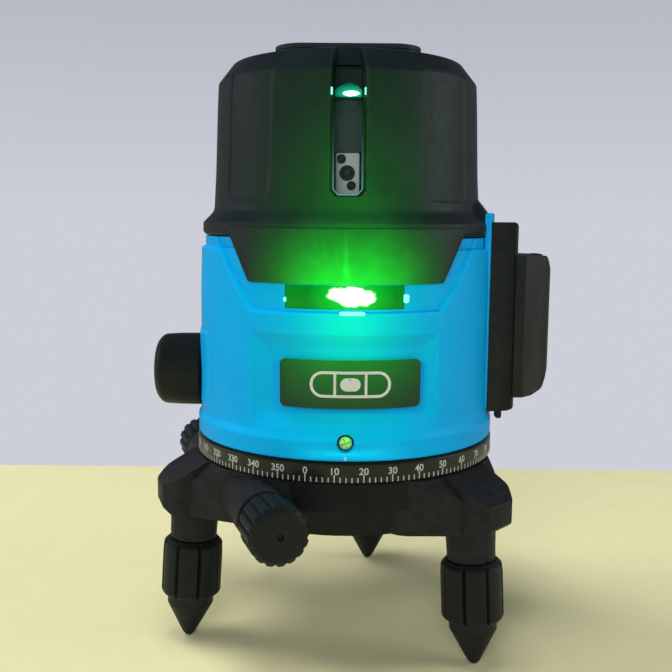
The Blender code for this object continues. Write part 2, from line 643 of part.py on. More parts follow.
def battery():
    holder = box("battery_holder", (40.0, -17.1, HOLDER_Z0), (55.7, 17.1, HOLDER_Z1), BLACK,
                 bevel=1.4)
    cut(holder, rod("holder_hollow", (0, 0, 60), (0, 0, 150), BODY_R + 0.4, segments=64),
        box("holder_step_front", (54.0, -20, 60), (60, -16.4, 150)),
        box("holder_step_rear", (54.0, 16.4, 60), (60, 20, 150)))
    pack_half = [(54.6, -18.4), (57.6, -18.4), (67.8, -8.2), (69.0, -5.6)]
    outline = pack_half + [(x, -y) for x, y in reversed(pack_half)]
    pack = prism("battery_pack", [outline], BATTERY_Z0, BATTERY_Z1, BLACK)
    side = [(50.0, 82.0), (62.6, 82.0), (65.6, 83.4), (68.0, 87.2), (69.1, 92.5),
            (69.1, 123.0), (68.5, 127.0), (66.8, BATTERY_Z1 + 0.2), (50.0, BATTERY_Z1 + 0.2)]
    keep(pack, side_prism("pack_side", side, 30.0, 0.0))
    cut(pack, box("pack_seat", (50, -16.75, 70), (56.0, 16.75, 140)),
        box("latch_pocket", (63.3, -5.4, 125.8), (66.7, 5.4, 135)))
    latch = box("battery_latch", (-1.4, -5.0, -1.2), (1.4, 5.0, 1.2), BLACK,
                location=(65.0, 0.0, 128.3))
    round_edges(latch, 0.4, 1)


tribrach()
base_fittings()
worm_drive()
feet()
lower_housing()
upper_cap()
windows()
top_panel()
front_screw()
hub_and_chassis()
pendulum()
lock()
battery()

for part in PARTS.objects:
    part.data.shade_smooth()
    part.data.set_sharp_from_angle(angle=math.radians(35))
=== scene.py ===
"""Laser level on a three-foot levelling base: the visible pieces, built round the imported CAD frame.

Lengths are in millimetres from the instrument's turning axis, with z up from the table and the
front towards -Y. A mesh is scaled and moved into the frame's metres when it is made.
"""
import json
import math
from math import cos, pi, radians, sin

import bmesh
import bpy
import numpy as np
from mathutils import Matrix, Vector

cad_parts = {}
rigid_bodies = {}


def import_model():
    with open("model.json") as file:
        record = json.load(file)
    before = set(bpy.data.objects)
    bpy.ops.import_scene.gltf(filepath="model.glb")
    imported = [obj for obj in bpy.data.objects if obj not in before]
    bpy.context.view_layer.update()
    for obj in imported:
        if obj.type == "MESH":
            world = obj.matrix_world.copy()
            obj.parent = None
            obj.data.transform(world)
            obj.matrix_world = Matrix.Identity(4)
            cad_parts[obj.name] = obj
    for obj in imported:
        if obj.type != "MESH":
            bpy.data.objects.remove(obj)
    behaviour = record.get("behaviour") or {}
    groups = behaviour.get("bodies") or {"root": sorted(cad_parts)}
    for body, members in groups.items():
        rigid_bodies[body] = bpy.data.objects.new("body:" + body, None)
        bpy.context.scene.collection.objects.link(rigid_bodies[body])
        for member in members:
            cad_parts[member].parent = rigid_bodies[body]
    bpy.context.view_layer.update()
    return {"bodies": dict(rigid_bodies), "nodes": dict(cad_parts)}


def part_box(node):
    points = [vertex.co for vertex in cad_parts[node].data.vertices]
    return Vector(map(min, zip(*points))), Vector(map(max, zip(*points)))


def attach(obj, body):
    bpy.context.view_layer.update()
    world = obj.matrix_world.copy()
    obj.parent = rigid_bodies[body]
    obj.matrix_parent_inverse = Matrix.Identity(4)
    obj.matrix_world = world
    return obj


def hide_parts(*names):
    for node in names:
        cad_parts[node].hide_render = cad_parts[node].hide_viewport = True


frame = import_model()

MM = 0.001
dial_low, dial_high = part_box("dial_ring")
AXIS = Vector(((dial_low.x + dial_high.x) / 2, (dial_low.y + dial_high.y) / 2, 0.0))
TO_WORLD = Matrix.Translation(AXIS) @ Matrix.Scale(MM, 4)
FRONT = -90.0                   # direction of the front, in degrees from +X
WELD = 1e-4                     # points closer than this are one


# ---- materials

class Finish:
    """A Principled material with helpers for procedural detail in the piece's own coordinates."""

    def __init__(self, name, color, roughness, metallic=0.0, specular=0.5, slot=None, **values):
        self.slot = slot or name
        self.mat = bpy.data.materials.new(name)
        self.mat.use_nodes = True
        self.tree = self.mat.node_tree
        self.shader = self.tree.nodes["Principled BSDF"]
        self.coords = self.tree.nodes.new("ShaderNodeTexCoord").outputs["Object"]
        values |= {"Base Color": (*color, 1.0), "Roughness": roughness, "Metallic": metallic,
                   "Specular IOR Level": specular}
        for socket, value in values.items():
            self.shader.inputs[socket].default_value = value
        self.normal = None

    def link(self, socket, value):
        self.tree.links.new(value, self.shader.inputs[socket])

    def node(self, kind, inputs=None, **attrs):
        node = self.tree.nodes.new("ShaderNode" + kind)
        for key, value in attrs.items():
            setattr(node, key, value)
        for key, value in (inputs or {}).items():
            if isinstance(value, bpy.types.NodeSocket):
                self.tree.links.new(value, node.inputs[key])
            else:
                node.inputs[key].default_value = value
        return node

    def math(self, operation, a, b=0.0):
        return self.node("Math", {0: a, 1: b}, operation=operation).outputs[0]

    def noise(self, size_mm, detail, roughness=0.55):
        """Noise with features of about a size."""
        return self.node("TexNoise", {"Vector": self.coords, "Scale": 1.0 / (size_mm * MM),
                                      "Detail": detail, "Roughness": roughness}).outputs[0]

    def spread(self, value, low, high, from_low=0.35, from_high=0.65):
        """Map a value to low..high. Noise mostly lies in the default range."""
        return self.node("MapRange", {0: value, 1: from_low, 2: from_high, 3: low, 4: high}
                         ).outputs[0]

    def mix(self, fac, low, high):
        """Colour between two, each a colour or a socket."""
        low, high = (c if isinstance(c, bpy.types.NodeSocket) else (*c, 1.0) for c in (low, high))
        return self.node("Mix", {0: fac, 6: low, 7: high}, data_type="RGBA").outputs[2]

    def bump(self, height, distance_mm):
        inputs = {"Height": height, "Distance": distance_mm * MM}
        if self.normal is not None:
            inputs["Normal"] = self.normal
        self.normal = self.node("Bump", inputs).outputs[0]
        self.link("Normal", self.normal)

    def edge_wear(self):
        """High on convex edges, for rubbed corners."""
        return self.spread(self.node("NewGeometry").outputs["Pointiness"], 0.0, 1.0, 0.515, 0.56)


ACRYLIC_IOR = 1.49
HEART = (3.0, 3.4, 3.0)         # emission at the middle of a lit lens


def scaled(color, factor):
    return tuple(c * factor for c in color)


def plastic(name, color, roughness, grain_mm, grain_depth, drift, wear=0.0, **values):
    """Moulded plastic: fine grain, slow drift of colour and gloss, and rubbed edges."""
    fin = Finish(name, color, roughness, **values)
    slow = fin.noise(14.0, 4.0)
    fine = fin.noise(grain_mm, 3.0)
    mark = fin.noise(2.6, 6.0, roughness=0.7)
    shade = fin.math("ADD", fin.math("MULTIPLY", slow, 0.7), fin.math("MULTIPLY", mark, 0.3))
    low, high = scaled(color, 1.0 - drift), scaled(color, 1.0 + drift)
    base = fin.mix(fin.spread(shade, 0.0, 1.0), low, high)
    if wear:
        rubbed = fin.math("MULTIPLY", fin.edge_wear(), fin.spread(mark, 0.2, 1.0))
        base = fin.mix(rubbed, base, tuple(min(1.0, c + wear) for c in high))
    fin.link("Base Color", base)
    fin.link("Roughness", fin.spread(mark, roughness * 0.88, min(1.0, roughness * 1.15), 0.3, 0.7))
    fin.bump(fine, grain_depth)
    return fin


def metal(name, color, roughness, **values):
    """Machined metal: fine tool marks and a little tarnish."""
    fin = Finish(name, color, roughness, metallic=1.0, **values)
    marks = fin.noise(0.25, 2.0)
    tarnish = fin.noise(5.0, 5.0)
    fin.link("Base Color", fin.mix(fin.spread(tarnish, 0.0, 1.0), scaled(color, 0.76),
                                   scaled(color, 1.12)))
    fin.link("Roughness", fin.spread(tarnish, roughness * 0.8, roughness * 1.3))
    fin.bump(marks, 0.004)
    return fin


BLUE = plastic("blue_plastic", (0.001, 0.36, 0.80), 0.45, 0.45, 0.003, 0.04, 0.01, specular=0.08)
CAP_BLACK = plastic("cap_black", (0.0065, 0.0115, 0.0135), 0.5, 0.4, 0.006, 0.15, 0.008,
                    specular=0.2, slot="black_plastic")
BLACK = plastic("black_plastic", (0.0065, 0.009, 0.0085), 0.5, 0.5, 0.008, 0.18, 0.008,
                specular=0.2)
CAST_BLACK = plastic("base_black", (0.008, 0.009, 0.010), 0.55, 0.5, 0.006, 0.2, 0.01,
                     specular=0.14, slot="black_plastic")
DIAL_BLACK = plastic("dial_black", (0.008, 0.010, 0.009), 0.28, 0.5, 0.002, 0.15, specular=0.3)
LABEL_BLACK = plastic("label_black", (0.012, 0.022, 0.020), 0.34, 0.5, 0.002, 0.1, specular=0.2,
                      slot="dial_black")
PANEL = plastic("panel_film", (0.018, 0.028, 0.032), 0.5, 0.3, 0.004, 0.1, specular=0.15,
                slot="panel_grey")
WHITE = plastic("white_print", (0.60, 0.62, 0.58), 0.5, 0.3, 0.002, 0.06, slot="dial_black")
DIAL_WHITE = plastic("dial_print", (0.40, 0.42, 0.39), 0.5, 0.3, 0.002, 0.1, slot="dial_black")
GREY_PRINT = plastic("grey_print", (0.42, 0.43, 0.44), 0.5, 0.3, 0.002, 0.06, slot="panel_grey")
RUBBER = plastic("button_rubber", (0.10, 0.10, 0.105), 0.75, 0.25, 0.01, 0.1)
MODULE = plastic("module_grey", (0.045, 0.095, 0.085), 0.5, 0.3, 0.006, 0.12, slot="dial_black")
SCREW_BLACK = metal("screw_black", (0.10, 0.15, 0.13), 0.45, slot="steel")
STEEL = metal("steel", (0.55, 0.56, 0.58), 0.3)
# the screw head's metal with the laser's green light painted into its colour
SCREW_PAINTED_GREEN_LIGHT = plastic("screw_painted_green_light", (0.45, 0.50, 0.30), 0.35, 0.3, 0.004, 0.15, metallic=0.3,
                     slot="steel")
SILVER = plastic("module_silver", (0.82, 0.92, 0.89), 0.45, 0.3, 0.004, 0.08, metallic=0.15,
                 slot="aluminium")
BRASS = metal("brass", (0.72, 0.53, 0.25), 0.32)
ALUMINIUM = metal("aluminium", (0.62, 0.63, 0.65), 0.38)
COPPER = metal("copper", (0.75, 0.38, 0.24), 0.35)
MAGNET = metal("magnet_nickel", (0.35, 0.35, 0.36), 0.3)


def board_finish():
    fin = plastic("circuit_board", (0.012, 0.12, 0.045), 0.42, 0.4, 0.004, 0.1)
    tracks = fin.node("TexBrick", {"Vector": fin.coords, "Scale": 420.0, "Mortar Size": 0.06})
    fin.bump(tracks.outputs["Fac"], 0.04)
    return fin


def glass(name, color, roughness, alpha, **values):
    """Thin tinted window: mostly see-through, with a clear coat and a few smears."""
    fin = Finish(name, color, roughness, IOR=ACRYLIC_IOR, Alpha=alpha, **values)
    smear = fin.noise(3.0, 5.0)
    fin.link("Roughness", fin.spread(smear, roughness * 0.7, roughness * 1.8))
    return fin


def glow(name, centre, reach, core, halo, floor=0.0):
    """Laser light in a lens, also used for painted glints and painted laser light on pieces near
    the lenses: a heart nearly white within the half sizes "core" and a halo that fades over
    "reach" (millimetres along X, Y and Z), but not below the share "floor"."""
    fin = Finish(name, (0.0, 0.02, 0.01), 0.2, specular=0.15, slot="window_glass",
                 IOR=ACRYLIC_IOR)
    spot = AXIS + Vector(centre) * MM
    away = fin.node("VectorMath", {0: fin.coords, 1: tuple(spot)}, operation="SUBTRACT").outputs[0]
    ragged = fin.spread(fin.noise(3.4, 1.0), -0.3, 0.3)

    def share(half, uneven):
        scale = fin.node("VectorMath", {0: away, 1: tuple(1.0 / (h * MM) for h in half)},
                         operation="MULTIPLY").outputs[0]
        length = fin.node("VectorMath", {0: scale}, operation="LENGTH").outputs["Value"]
        return fin.math("ADD", length, fin.math("MULTIPLY", ragged, uneven))
    squared = fin.math("POWER", fin.math("MAXIMUM", share(reach, 0.1), 0.0), 2.0)
    outer = fin.math("POWER", math.e, fin.math("MULTIPLY", squared, -1.0))
    inner = fin.spread(share(core, 0.8), 1.0, 0.0, 0.7, 1.2)
    fin.link("Emission Color", fin.mix(inner, halo, HEART))
    fin.link("Emission Strength", fin.math("MAXIMUM", fin.math("MAXIMUM", outer, floor), inner))
    return fin


BOARD = board_finish()
WINDOW = glass("window_glass", (0.02, 0.05, 0.045), 0.16, 0.14, specular=0.2)
SMOKED = plastic("smoked_glass", (0.010, 0.018, 0.017), 0.35, 0.5, 0.002, 0.1, specular=0.25,
                 slot="window_glass")
# painted glints: glowing spots standing in for the laser's reflections on the slot walls, the ledge
# and the pane's ends
GLINT = glow("window_glint", (0.0, 0.0, 150.0), (200.0, 200.0, 200.0), (1.0, 1.0, 1.0),
             (0.35, 1.9, 1.2), floor=1.0)
# painted laser light on the front pane's rim, fading away from the bottom of the slot
EDGE_LIT = glow("pane_edge_lit", (0.0, -39.0, 146.0), (9.0, 9.0, 13.0), (0.1, 0.1, 0.1),
                (0.10, 0.42, 0.30))
EDGE_PLAIN = glass("pane_edge", (0.10, 0.16, 0.14), 0.15, 1.0, slot="window_glass")
VIAL = glass("level_fluid", (0.45, 0.80, 0.12), 0.04, 0.75)
BUBBLE = glass("level_bubble", (0.85, 0.95, 0.75), 0.03, 0.85, slot="level_fluid")


# ---- outlines and profiles

def ease(x):
    x = np.clip(x, 0.0, 1.0)
    return x * x * (3.0 - 2.0 * x)


def fillet(points, closed=False, steps=4):
    """Round the corners of a 2D path. A point may carry its corner radius as a third value."""
    out = []
    count = len(points)
    for i, point in enumerate(points):
        here = Vector(point[:2])
        radius = point[2] if len(point) > 2 else 0.0
        if not radius or (not closed and i in (0, count - 1)):
            out.append(tuple(here))
            continue
        before, after = Vector(points[i - 1][:2]) - here, Vector(points[(i + 1) % count][:2]) - here
        u, v = before.normalized(), after.normalized()
        half = u.angle(v) / 2
        if half > pi / 2 - 0.03:
            out.append(tuple(here))
            continue
        run = min(radius / math.tan(half), 0.48 * before.length, 0.48 * after.length)
        radius = run * math.tan(half)
        centre = here + (u + v).normalized() * (radius / sin(half))
        first, last = here + u * run - centre, here + v * run - centre
        turn = first.angle_signed(last)
        for k in range(steps + 1):
            a = -turn * k / steps
            out.append((centre.x + first.x * cos(a) - first.y * sin(a),
                        centre.y + first.x * sin(a) + first.y * cos(a)))
    return out


def densify(points, step):
    out = [points[0]]
    for a, b in zip(points, points[1:]):
        count = max(1, math.ceil(math.dist(a, b) / step))
        out += [(a[0] + (b[0] - a[0]) * k / count, a[1] + (b[1] - a[1]) * k / count)
                for k in range(1, count + 1)]
    return out


def inset(outline, amount):
    """Move the edges of a closed outline, listed anticlockwise, inwards."""
    out = []
    count = len(outline)
    for i in range(count):
        a, b, c = (Vector(outline[(i + k) % count]) for k in (-1, 0, 1))
        u, v = (b - a).normalized(), (c - b).normalized()
        n1, n2 = Vector((-u.y, u.x)), Vector((-v.y, v.x))
        mitre = (n1 + n2).normalized()
        out.append(tuple(b + mitre * (amount / max(0.4, mitre.dot(n1)))))
    return out


def within(x, y, outline):
    """Distance into an outline in the plane, negative outside it."""
    x, y = np.broadcast_arrays(x, y)
    best = np.full(x.shape, 1e9)
    sign = np.ones(x.shape)
    for (ax, ay), (bx, by) in zip(outline, outline[1:] + outline[:1]):
        ex, ey, wx, wy = bx - ax, by - ay, x - ax, y - ay
        t = np.clip((wx * ex + wy * ey) / (ex * ex + ey * ey), 0.0, 1.0)
        best = np.minimum(best, (wx - ex * t) ** 2 + (wy - ey * t) ** 2)
        above, below, left = y >= ay, y < by, ex * wy > ey * wx
        flip = (above & below & left) | (~above & ~below & ~left)
        sign = np.where(flip, -sign, sign)
    return -sign * np.sqrt(best)


def refine(path, step, *bands):
    """Cut a path of (radius, height) more finely where its height lies in a band."""
    out = []
    for a, b in zip(path, path[1:]):
        close = any(low < a[1] < high for low, high in bands)
        out += densify([a, b], step)[:-1] if close else [a]
    return out + [path[-1]]


def rectangle(x0, y0, x1, y1, corner=0.0, steps=4):
    """Outline of a rectangle, anticlockwise, with its corners rounded by a radius."""
    corners = [(x0, y0), (x1, y0), (x1, y1), (x0, y1)]
    return fillet([(*c, corner) for c in corners], True, steps) if corner else corners


def grown(box, amount):
    x0, y0, x1, y1 = box
    return x0 - amount, y0 - amount, x1 + amount, y1 + amount


def circle(radius, count=48, x=0.0, y=0.0):
    angles = [2 * pi * i / count for i in range(count)]
    return [(x + radius * cos(a), y + radius * sin(a)) for a in angles]


def around(count):
    return np.arange(count) * 2 * pi / count


def spans(edges, steps):
    """Angles in radians from edge to edge, in degrees, each stretch with its own step."""
    return np.radians(np.concatenate([np.arange(a, b - 1e-6, step)
                                      for a, b, step in zip(edges, edges[1:], steps)]))


# ---- meshes

def standing(origin, direction):
    """Placement with local Z along a direction."""
    turn = Vector((0, 0, 1)).rotation_difference(Vector(direction)).to_matrix().to_4x4()
    return Matrix.Translation(origin) @ turn


def turned_to(angle):
    return Matrix.Rotation(radians(angle), 4, "Z")


def polar(radius, angle, z=0.0):
    a = radians(angle)
    return radius * cos(a), radius * sin(a), z


def add_object(name, data):
    obj = bpy.data.objects.new(name, data)
    bpy.context.scene.collection.objects.link(obj)
    return obj


def to_object(name, bm, place=Matrix(), outward=True):
    """Turn a mesh in local millimetres into an object in the frame."""
    bmesh.ops.remove_doubles(bm, verts=bm.verts, dist=WELD)
    if outward:
        bmesh.ops.recalc_face_normals(bm, faces=bm.faces)
    mesh = bpy.data.meshes.new(name)
    bm.to_mesh(mesh)
    bm.free()
    mesh.transform(TO_WORLD @ place)
    return add_object(name, mesh)


def revolve(name, profile, columns, bump=None, loop=False, place=Matrix()):
    """Turn a profile of (radius, height) about local Z; bump(angle, height, radius) moves the
    radius. A loop closes the profile on itself; otherwise it starts and ends on the axis."""
    prof = np.array(profile, float)
    r, z = prof[:, 0][:, None], prof[:, 1][:, None]
    t = np.asarray(columns)[None, :]
    if bump:
        r = bump(t, z, r)
    rows, cols = len(prof), t.shape[1]
    r, z = np.broadcast_to(r, (rows, cols)), np.broadcast_to(z, (rows, cols))
    verts = np.stack([r * np.cos(t), r * np.sin(t), z], -1).reshape(-1, 3)
    i = np.arange(rows if loop else rows - 1)[:, None]
    j = np.arange(cols)[None, :]
    i2, j2 = (i + 1) % rows, (j + 1) % cols
    faces = np.stack([i * cols + j, i * cols + j2, i2 * cols + j2, i2 * cols + j], -1)
    mesh = bpy.data.meshes.new(name)
    mesh.from_pydata(verts.tolist(), [], faces.reshape(-1, 4).tolist())
    bm = bmesh.new()
    bm.from_mesh(mesh)
    bpy.data.meshes.remove(mesh)
    return to_object(name, bm, place)


def plate(name, outline, z0, z1, edge=0.3, place=Matrix(), bend=None, slices=None, hollow=0.0,
          back_edge=0.0, steps=3):
    """Extrude an outline from z0 to z1 with rounded edges. slices cuts it along local X, and
    bend(x, y, z) then moves its points. hollow leaves only a band of that width."""
    quarter = [pi / 2 * k / steps for k in range(steps + 1)]
    rings = [(inset(outline, back_edge * (1 - sin(a))), z0 + back_edge * (1 - cos(a)))
             for a in quarter] if back_edge else [(outline, z0)]
    rings += [(inset(outline, edge * (1 - cos(a))), z1 - edge * (1 - sin(a))) for a in quarter]
    if hollow:
        rings += [(inset(outline, hollow), z1), (inset(outline, hollow), z0)]
    count = len(outline)
    verts = [(x, y, z) for ring, z in rings for x, y in ring]
    total = len(rings)
    faces = [[i * count + j, i * count + (j + 1) % count,
              (i + 1) % total * count + (j + 1) % count, (i + 1) % total * count + j]
             for i in range(total if hollow else total - 1) for j in range(count)]
    if not hollow:
        faces += [list(range(count))[::-1], [(total - 1) * count + j for j in range(count)]]
    bm = bmesh.new()
    points = [bm.verts.new(v) for v in verts]
    for face in faces:
        bm.faces.new([points[k] for k in face])
    if slices:
        xs = [v[0] for v in verts]
        for k in range(math.ceil(min(xs) / slices), math.floor(max(xs) / slices) + 1):
            geom = bm.verts[:] + bm.edges[:] + bm.faces[:]
            bmesh.ops.bisect_plane(bm, geom=geom, dist=1e-5, plane_co=(k * slices, 0, 0),
                                   plane_no=(1, 0, 0))
    if bend:
        for v in bm.verts:
            v.co = bend(*v.co)
    return to_object(name, bm, place)


def cutter(name, outline, z0, z1, place=Matrix()):
    """A sharp-edged block, for cutting and joining shapes."""
    return plate(name, outline, z0, z1, edge=0.0, place=place, steps=1)


def on_wall(radius, angle=FRONT):
    """Bend for a plate whose x is the width seen square on, y the height and z the depth."""
    turn = Matrix.Rotation(radians(angle - FRONT), 3, "Z")

    def bend(x, y, z):
        a = math.asin(max(-1.0, min(1.0, x / radius)))
        return turn @ Vector(((radius + z) * sin(a), -(radius + z) * cos(a), y))
    return bend


def radial(angle):
    """Local X points outwards at the angle, local Y up and local Z sideways."""
    out = Vector(polar(1.0, angle))
    up = Vector((0, 0, 1))
    return Matrix((out, up, out.cross(up))).transposed().to_4x4()


def evaluated_mesh(obj):
    graph = bpy.context.evaluated_depsgraph_get()
    return bpy.data.meshes.new_from_object(obj.evaluated_get(graph))


def remove(objs):
    for obj in objs:
        bpy.data.objects.remove(obj, do_unlink=True)


def bake(obj):
    mesh = evaluated_mesh(obj)
    obj.modifiers.clear()
    old, obj.data = obj.data, mesh
    bpy.data.meshes.remove(old)
    return obj


def boolean(obj, others, operation="DIFFERENCE"):
    for other in others:
        mod = obj.modifiers.new("boolean", "BOOLEAN")
        mod.operation, mod.solver, mod.object = operation, "EXACT", other
    bake(obj)
    remove(others)


def merge(objs, name):
    """Join pieces that don't touch into one mesh."""
    first = objs[0]
    bm = bmesh.new()
    for obj in objs:
        bm.from_mesh(obj.data)
    bm.to_mesh(first.data)
    bm.free()
    remove(objs[1:])
    first.name = name
    return first


def bevel(obj, width, segments, angle):
    mod = obj.modifiers.new("bevel", "BEVEL")
    mod.width, mod.segments = width * MM, segments
    mod.limit_method, mod.angle_limit = "ANGLE", radians(angle)
    return bake(obj)


def piece(obj, finish, *nodes, body="instrument", slot=None, sharp=32.0):
    """Finish a mesh: material, shading, the body it rides on and the nodes it stands for."""
    obj.data.materials.clear()
    obj.data.materials.append(finish.mat)
    obj.data.shade_smooth()
    obj.data.set_sharp_from_angle(angle=radians(sharp))
    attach(obj, body)
    slot or finish.slot
    if nodes:
        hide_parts(*nodes)


# ---- cap

SIDES = (("right", 0), ("back", 90), ("left", 180), ("front", -90))
# a recessed diagonal panel, along the wall
FACET = [(-7.9, 145.6), (7.9, 145.6), (10.1, 148.4), (10.1, 184.8), (-10.1, 184.8), (-10.1, 148.4)]
FACET_DEPTH = 0.6
CAP_RADIUS = 43.5               # of the wall, where a width along it is measured
CAP_INSIDE = 42.2
LEDGE_RADIUS, LEDGE_Z = 47.7, 143.0     # the ledge over the battery's pad
SLOT_FLOOR, SLOT_Z0, SLOT_BEND, SLOT_END = 39.4, 147, 176.4, (29.6, 193)
PAD_ANGLE = 20.9                # half angle of the housing's pad behind the battery
TOP_OUTLINE = rectangle(-23.1, -23.1, 23.1, 23.1, 9, 8)


def off(angle, centre):
    """Angle in radians from a centre in degrees, as degrees from -180 to 180."""
    return (np.degrees(angle) - centre + 180) % 360.0 - 180.0


def cap_wall(t, z, r):
    """The cap's radius, with the four diagonal panels and the ledge over the battery's pad."""
    outside = r > CAP_INSIDE
    depth = np.zeros(np.broadcast(t, z).shape)
    for centre in (45, 135, 225, 315):
        along = off(t, centre) * radians(1) * CAP_RADIUS
        depth = np.maximum(depth, FACET_DEPTH * ease(within(along, z, FACET) / 1.9 + 0.3))
    wall = r - np.where(outside, depth, 0)
    beside = ease((PAD_ANGLE - np.abs(off(t, 0))) / 1.2 + 0.5)
    ledge = np.where(z > LEDGE_Z, LEDGE_RADIUS - (z - LEDGE_Z) * 0.8, LEDGE_RADIUS)
    raised = np.where(outside & (z > 136) & (z < 148.4), np.maximum(wall, ledge), wall)
    raised = np.where(outside, np.minimum(raised, LEDGE_RADIUS + 0.05), raised)
    return wall + (raised - wall) * beside


def slot_half(radius):
    """Half width of a slot's drafted walls."""
    return 3.1 + 0.175 * (max(radius, SLOT_END[0]) - 30)


def reshape(obj, place, change):
    """Move an object's points through a function of its local millimetres, then place it."""
    local = TO_WORLD.inverted()
    for v in obj.data.vertices:
        v.co = TO_WORLD @ place @ Vector(change(*(local @ v.co)))
    return obj


def slot_prism(name, outline, half_width, angle, drafted=False):
    """A block round a slot, from an outline of (radius, height)."""
    obj = cutter(name, outline, -half_width, half_width)
    return reshape(obj, radial(angle), lambda x, y, z: (
        x, y, math.copysign(slot_half(x), z) if drafted else z))


def mirrored(half):
    """A closed outline from its half at negative y."""
    return half + [(p[0], -p[1]) + p[2:] for p in reversed(half)]


def slot_front(half, z0, z1, chamfer, corner=0):
    """Front outline of a slot's glass or opening, with its lower corners cut off."""
    return fillet([(-half + chamfer, z0, corner), (half - chamfer, z0, corner),
                   (half, z0 + chamfer, corner), (half, z1), (-half, z1),
                   (-half, z0 + chamfer, corner)], True)


def facing(angle):
    """Placement of a flat plate, with x along the wall, y up and z outwards at an angle."""
    return turned_to(angle - FRONT) @ Matrix.Rotation(pi / 2, 4, "X")


def on_all_sides(make):
    """One mesh of a tool made for each side's angle."""
    return merge([make(angle) for _, angle in SIDES], "tools")


def upper_cap():
    outer = densify(fillet([(0, 192.5), (27, 192.5, 5), (37.8, 190.2, 1.8), (42.7, 183.9, 1.4),
                            (43.1, 176), (43.8, 155, 20), (44.5, 143, 3.5), (48.2, 139.2, 0.7),
                            (48.2, 136.2, 0.9), (47.2, 135.2, 0.4), (44.3, 135.2)]), 1.3)
    outer = refine(outer, 0.35, (144, 150.5), (181, 184.5))
    inner = [(42.2, 142), (41.2, 155), (40.2, 182), (36.4, 187.2), (25, 190.2), (0, 190.2)]
    edges = [a + 90 * k for k in range(4) for a in (0, 19, 23, 29, 34, 56, 61, 67, 71)]
    columns = spans(edges + [360], (1.6, 0.4, 1.5, 0.35, 1.6, 0.35, 1.5, 0.4, 1.6) * 4)
    cap = revolve("cap_shell", outer + inner, columns, cap_wall)
    pocket = [(41.2, 144.8), (41.2, 183), (37.4, 188.2), (33, 189.9), (24, 190.8),
              (24, 189.2), (33.9, 174.6), (33.9, 144.8)]
    channel = [(60, SLOT_BEND), (60, 200), (SLOT_END[0], 200), SLOT_END, (SLOT_FLOOR, SLOT_BEND)]
    light = [(60, SLOT_BEND - 0.8), (60, 185.9), (20, 185.9), (20, SLOT_BEND - 0.8)]
    front = slot_front(slot_half(SLOT_FLOOR), SLOT_Z0, SLOT_BEND + 1, 1.7)
    hole = slot_front(4.6, SLOT_Z0 + 0.3, SLOT_BEND - 0.6, 1.6)

    def draft(x, y, z):
        return x * slot_half(z) / slot_half(SLOT_FLOOR), y, z
    boolean(cap, [on_all_sides(lambda angle: slot_prism("pocket", pocket, 6.8, angle))], "UNION")
    for make in (lambda angle: slot_prism("channel", channel, 5, angle, True),
                 lambda angle: reshape(cutter("face", front, SLOT_FLOOR, 60), facing(angle), draft),
                 lambda angle: cutter("hole", hole, 20, 50, facing(angle)),
                 lambda angle: slot_prism("light", light, 4.2, angle)):
        boolean(cap, [on_all_sides(make)])
    boolean(cap, [plate("opening", rectangle(-19.4, -19.4, 19.4, 19.4, 6), 180, 200)])
    piece(cap, CAP_BLACK, "upper_cap", sharp=28)
    piece(plate("top_rim", TOP_OUTLINE, 191, 192.9, edge=0.25, hollow=2.6), CAP_BLACK)
    apron = fillet([(-30, 121.6, 1), (29.4, 121.6, 1), (37.1, 138), (-37.4, 138)], True)
    skirt = plate("front_apron", apron, -1.6, 0, edge=0.4, bend=on_wall(48.5), slices=1.2)
    piece(skirt, CAP_BLACK)
    return cap, skirt


# ---- housing

BAND = [(-29.2, 113.2), (28.8, 113.2), (34, 121), (42.2, 137.5), (-42.6, 137.5), (-34.4, 121)]
FRONT_PANEL = rectangle(-28.6, 74, 27.8, 106.6)
LOCK_FIELD = rectangle(-23.5, 78.6, 23.5, 104.6)
LABEL = (-19.7, 85, 22.3, 99.5)
LEVEL_WINDOW = (-18.1, 114.4, 16.9, 121.2)
HOUSING_RADIUS, SKIRT_RADIUS = 49, 50.3
SCREW_Z, LOCK_Z = 74.6, 88.7
KEY_X, KEY_Y, VIAL_Y = (-12, 0, 12), -12, 6
SIGN_Z = (194.78, 194.86)       # of the print on a key


def housing_wall(t, z, r):
    """The housing's radius, with the hollows at the front and the field round the lock knob."""
    outside = r > 47.3
    x, y = r * np.cos(t), r * np.sin(t)
    band = 1.5 * ease(within(x, z, BAND) / 0.7 + 0.25)
    into = within(x, z, FRONT_PANEL)
    step, slope = 0.5 * ease(into / 0.5 + 0.2), 1.4 * np.clip((into - 0.6) / 3.2, 0, 1)
    panel = (step + slope) * ease((z - 77) / 7)
    film = 0.3 * ease(within(x, z, rectangle(*grown(LABEL, 0.4))) / 0.5 + 0.5)
    hole = 3.0 * ease((2.75 - np.hypot(x, z - SCREW_Z)) / 0.35)
    depth = np.maximum(band, np.maximum(panel, film)) + hole
    wall = r - np.where((y < 0) & outside, depth, 0)
    field = within(off(t, 180) * radians(1) * HOUSING_RADIUS, z, LOCK_FIELD)
    dish = 0.7 * ease((13.7 - np.hypot(y, z - LOCK_Z)) / 0.8)
    wall = wall + np.where((x < 0) & outside, 0.45 * ease(field / 1.6) - dish, 0)
    return np.minimum(wall, SKIRT_RADIUS)


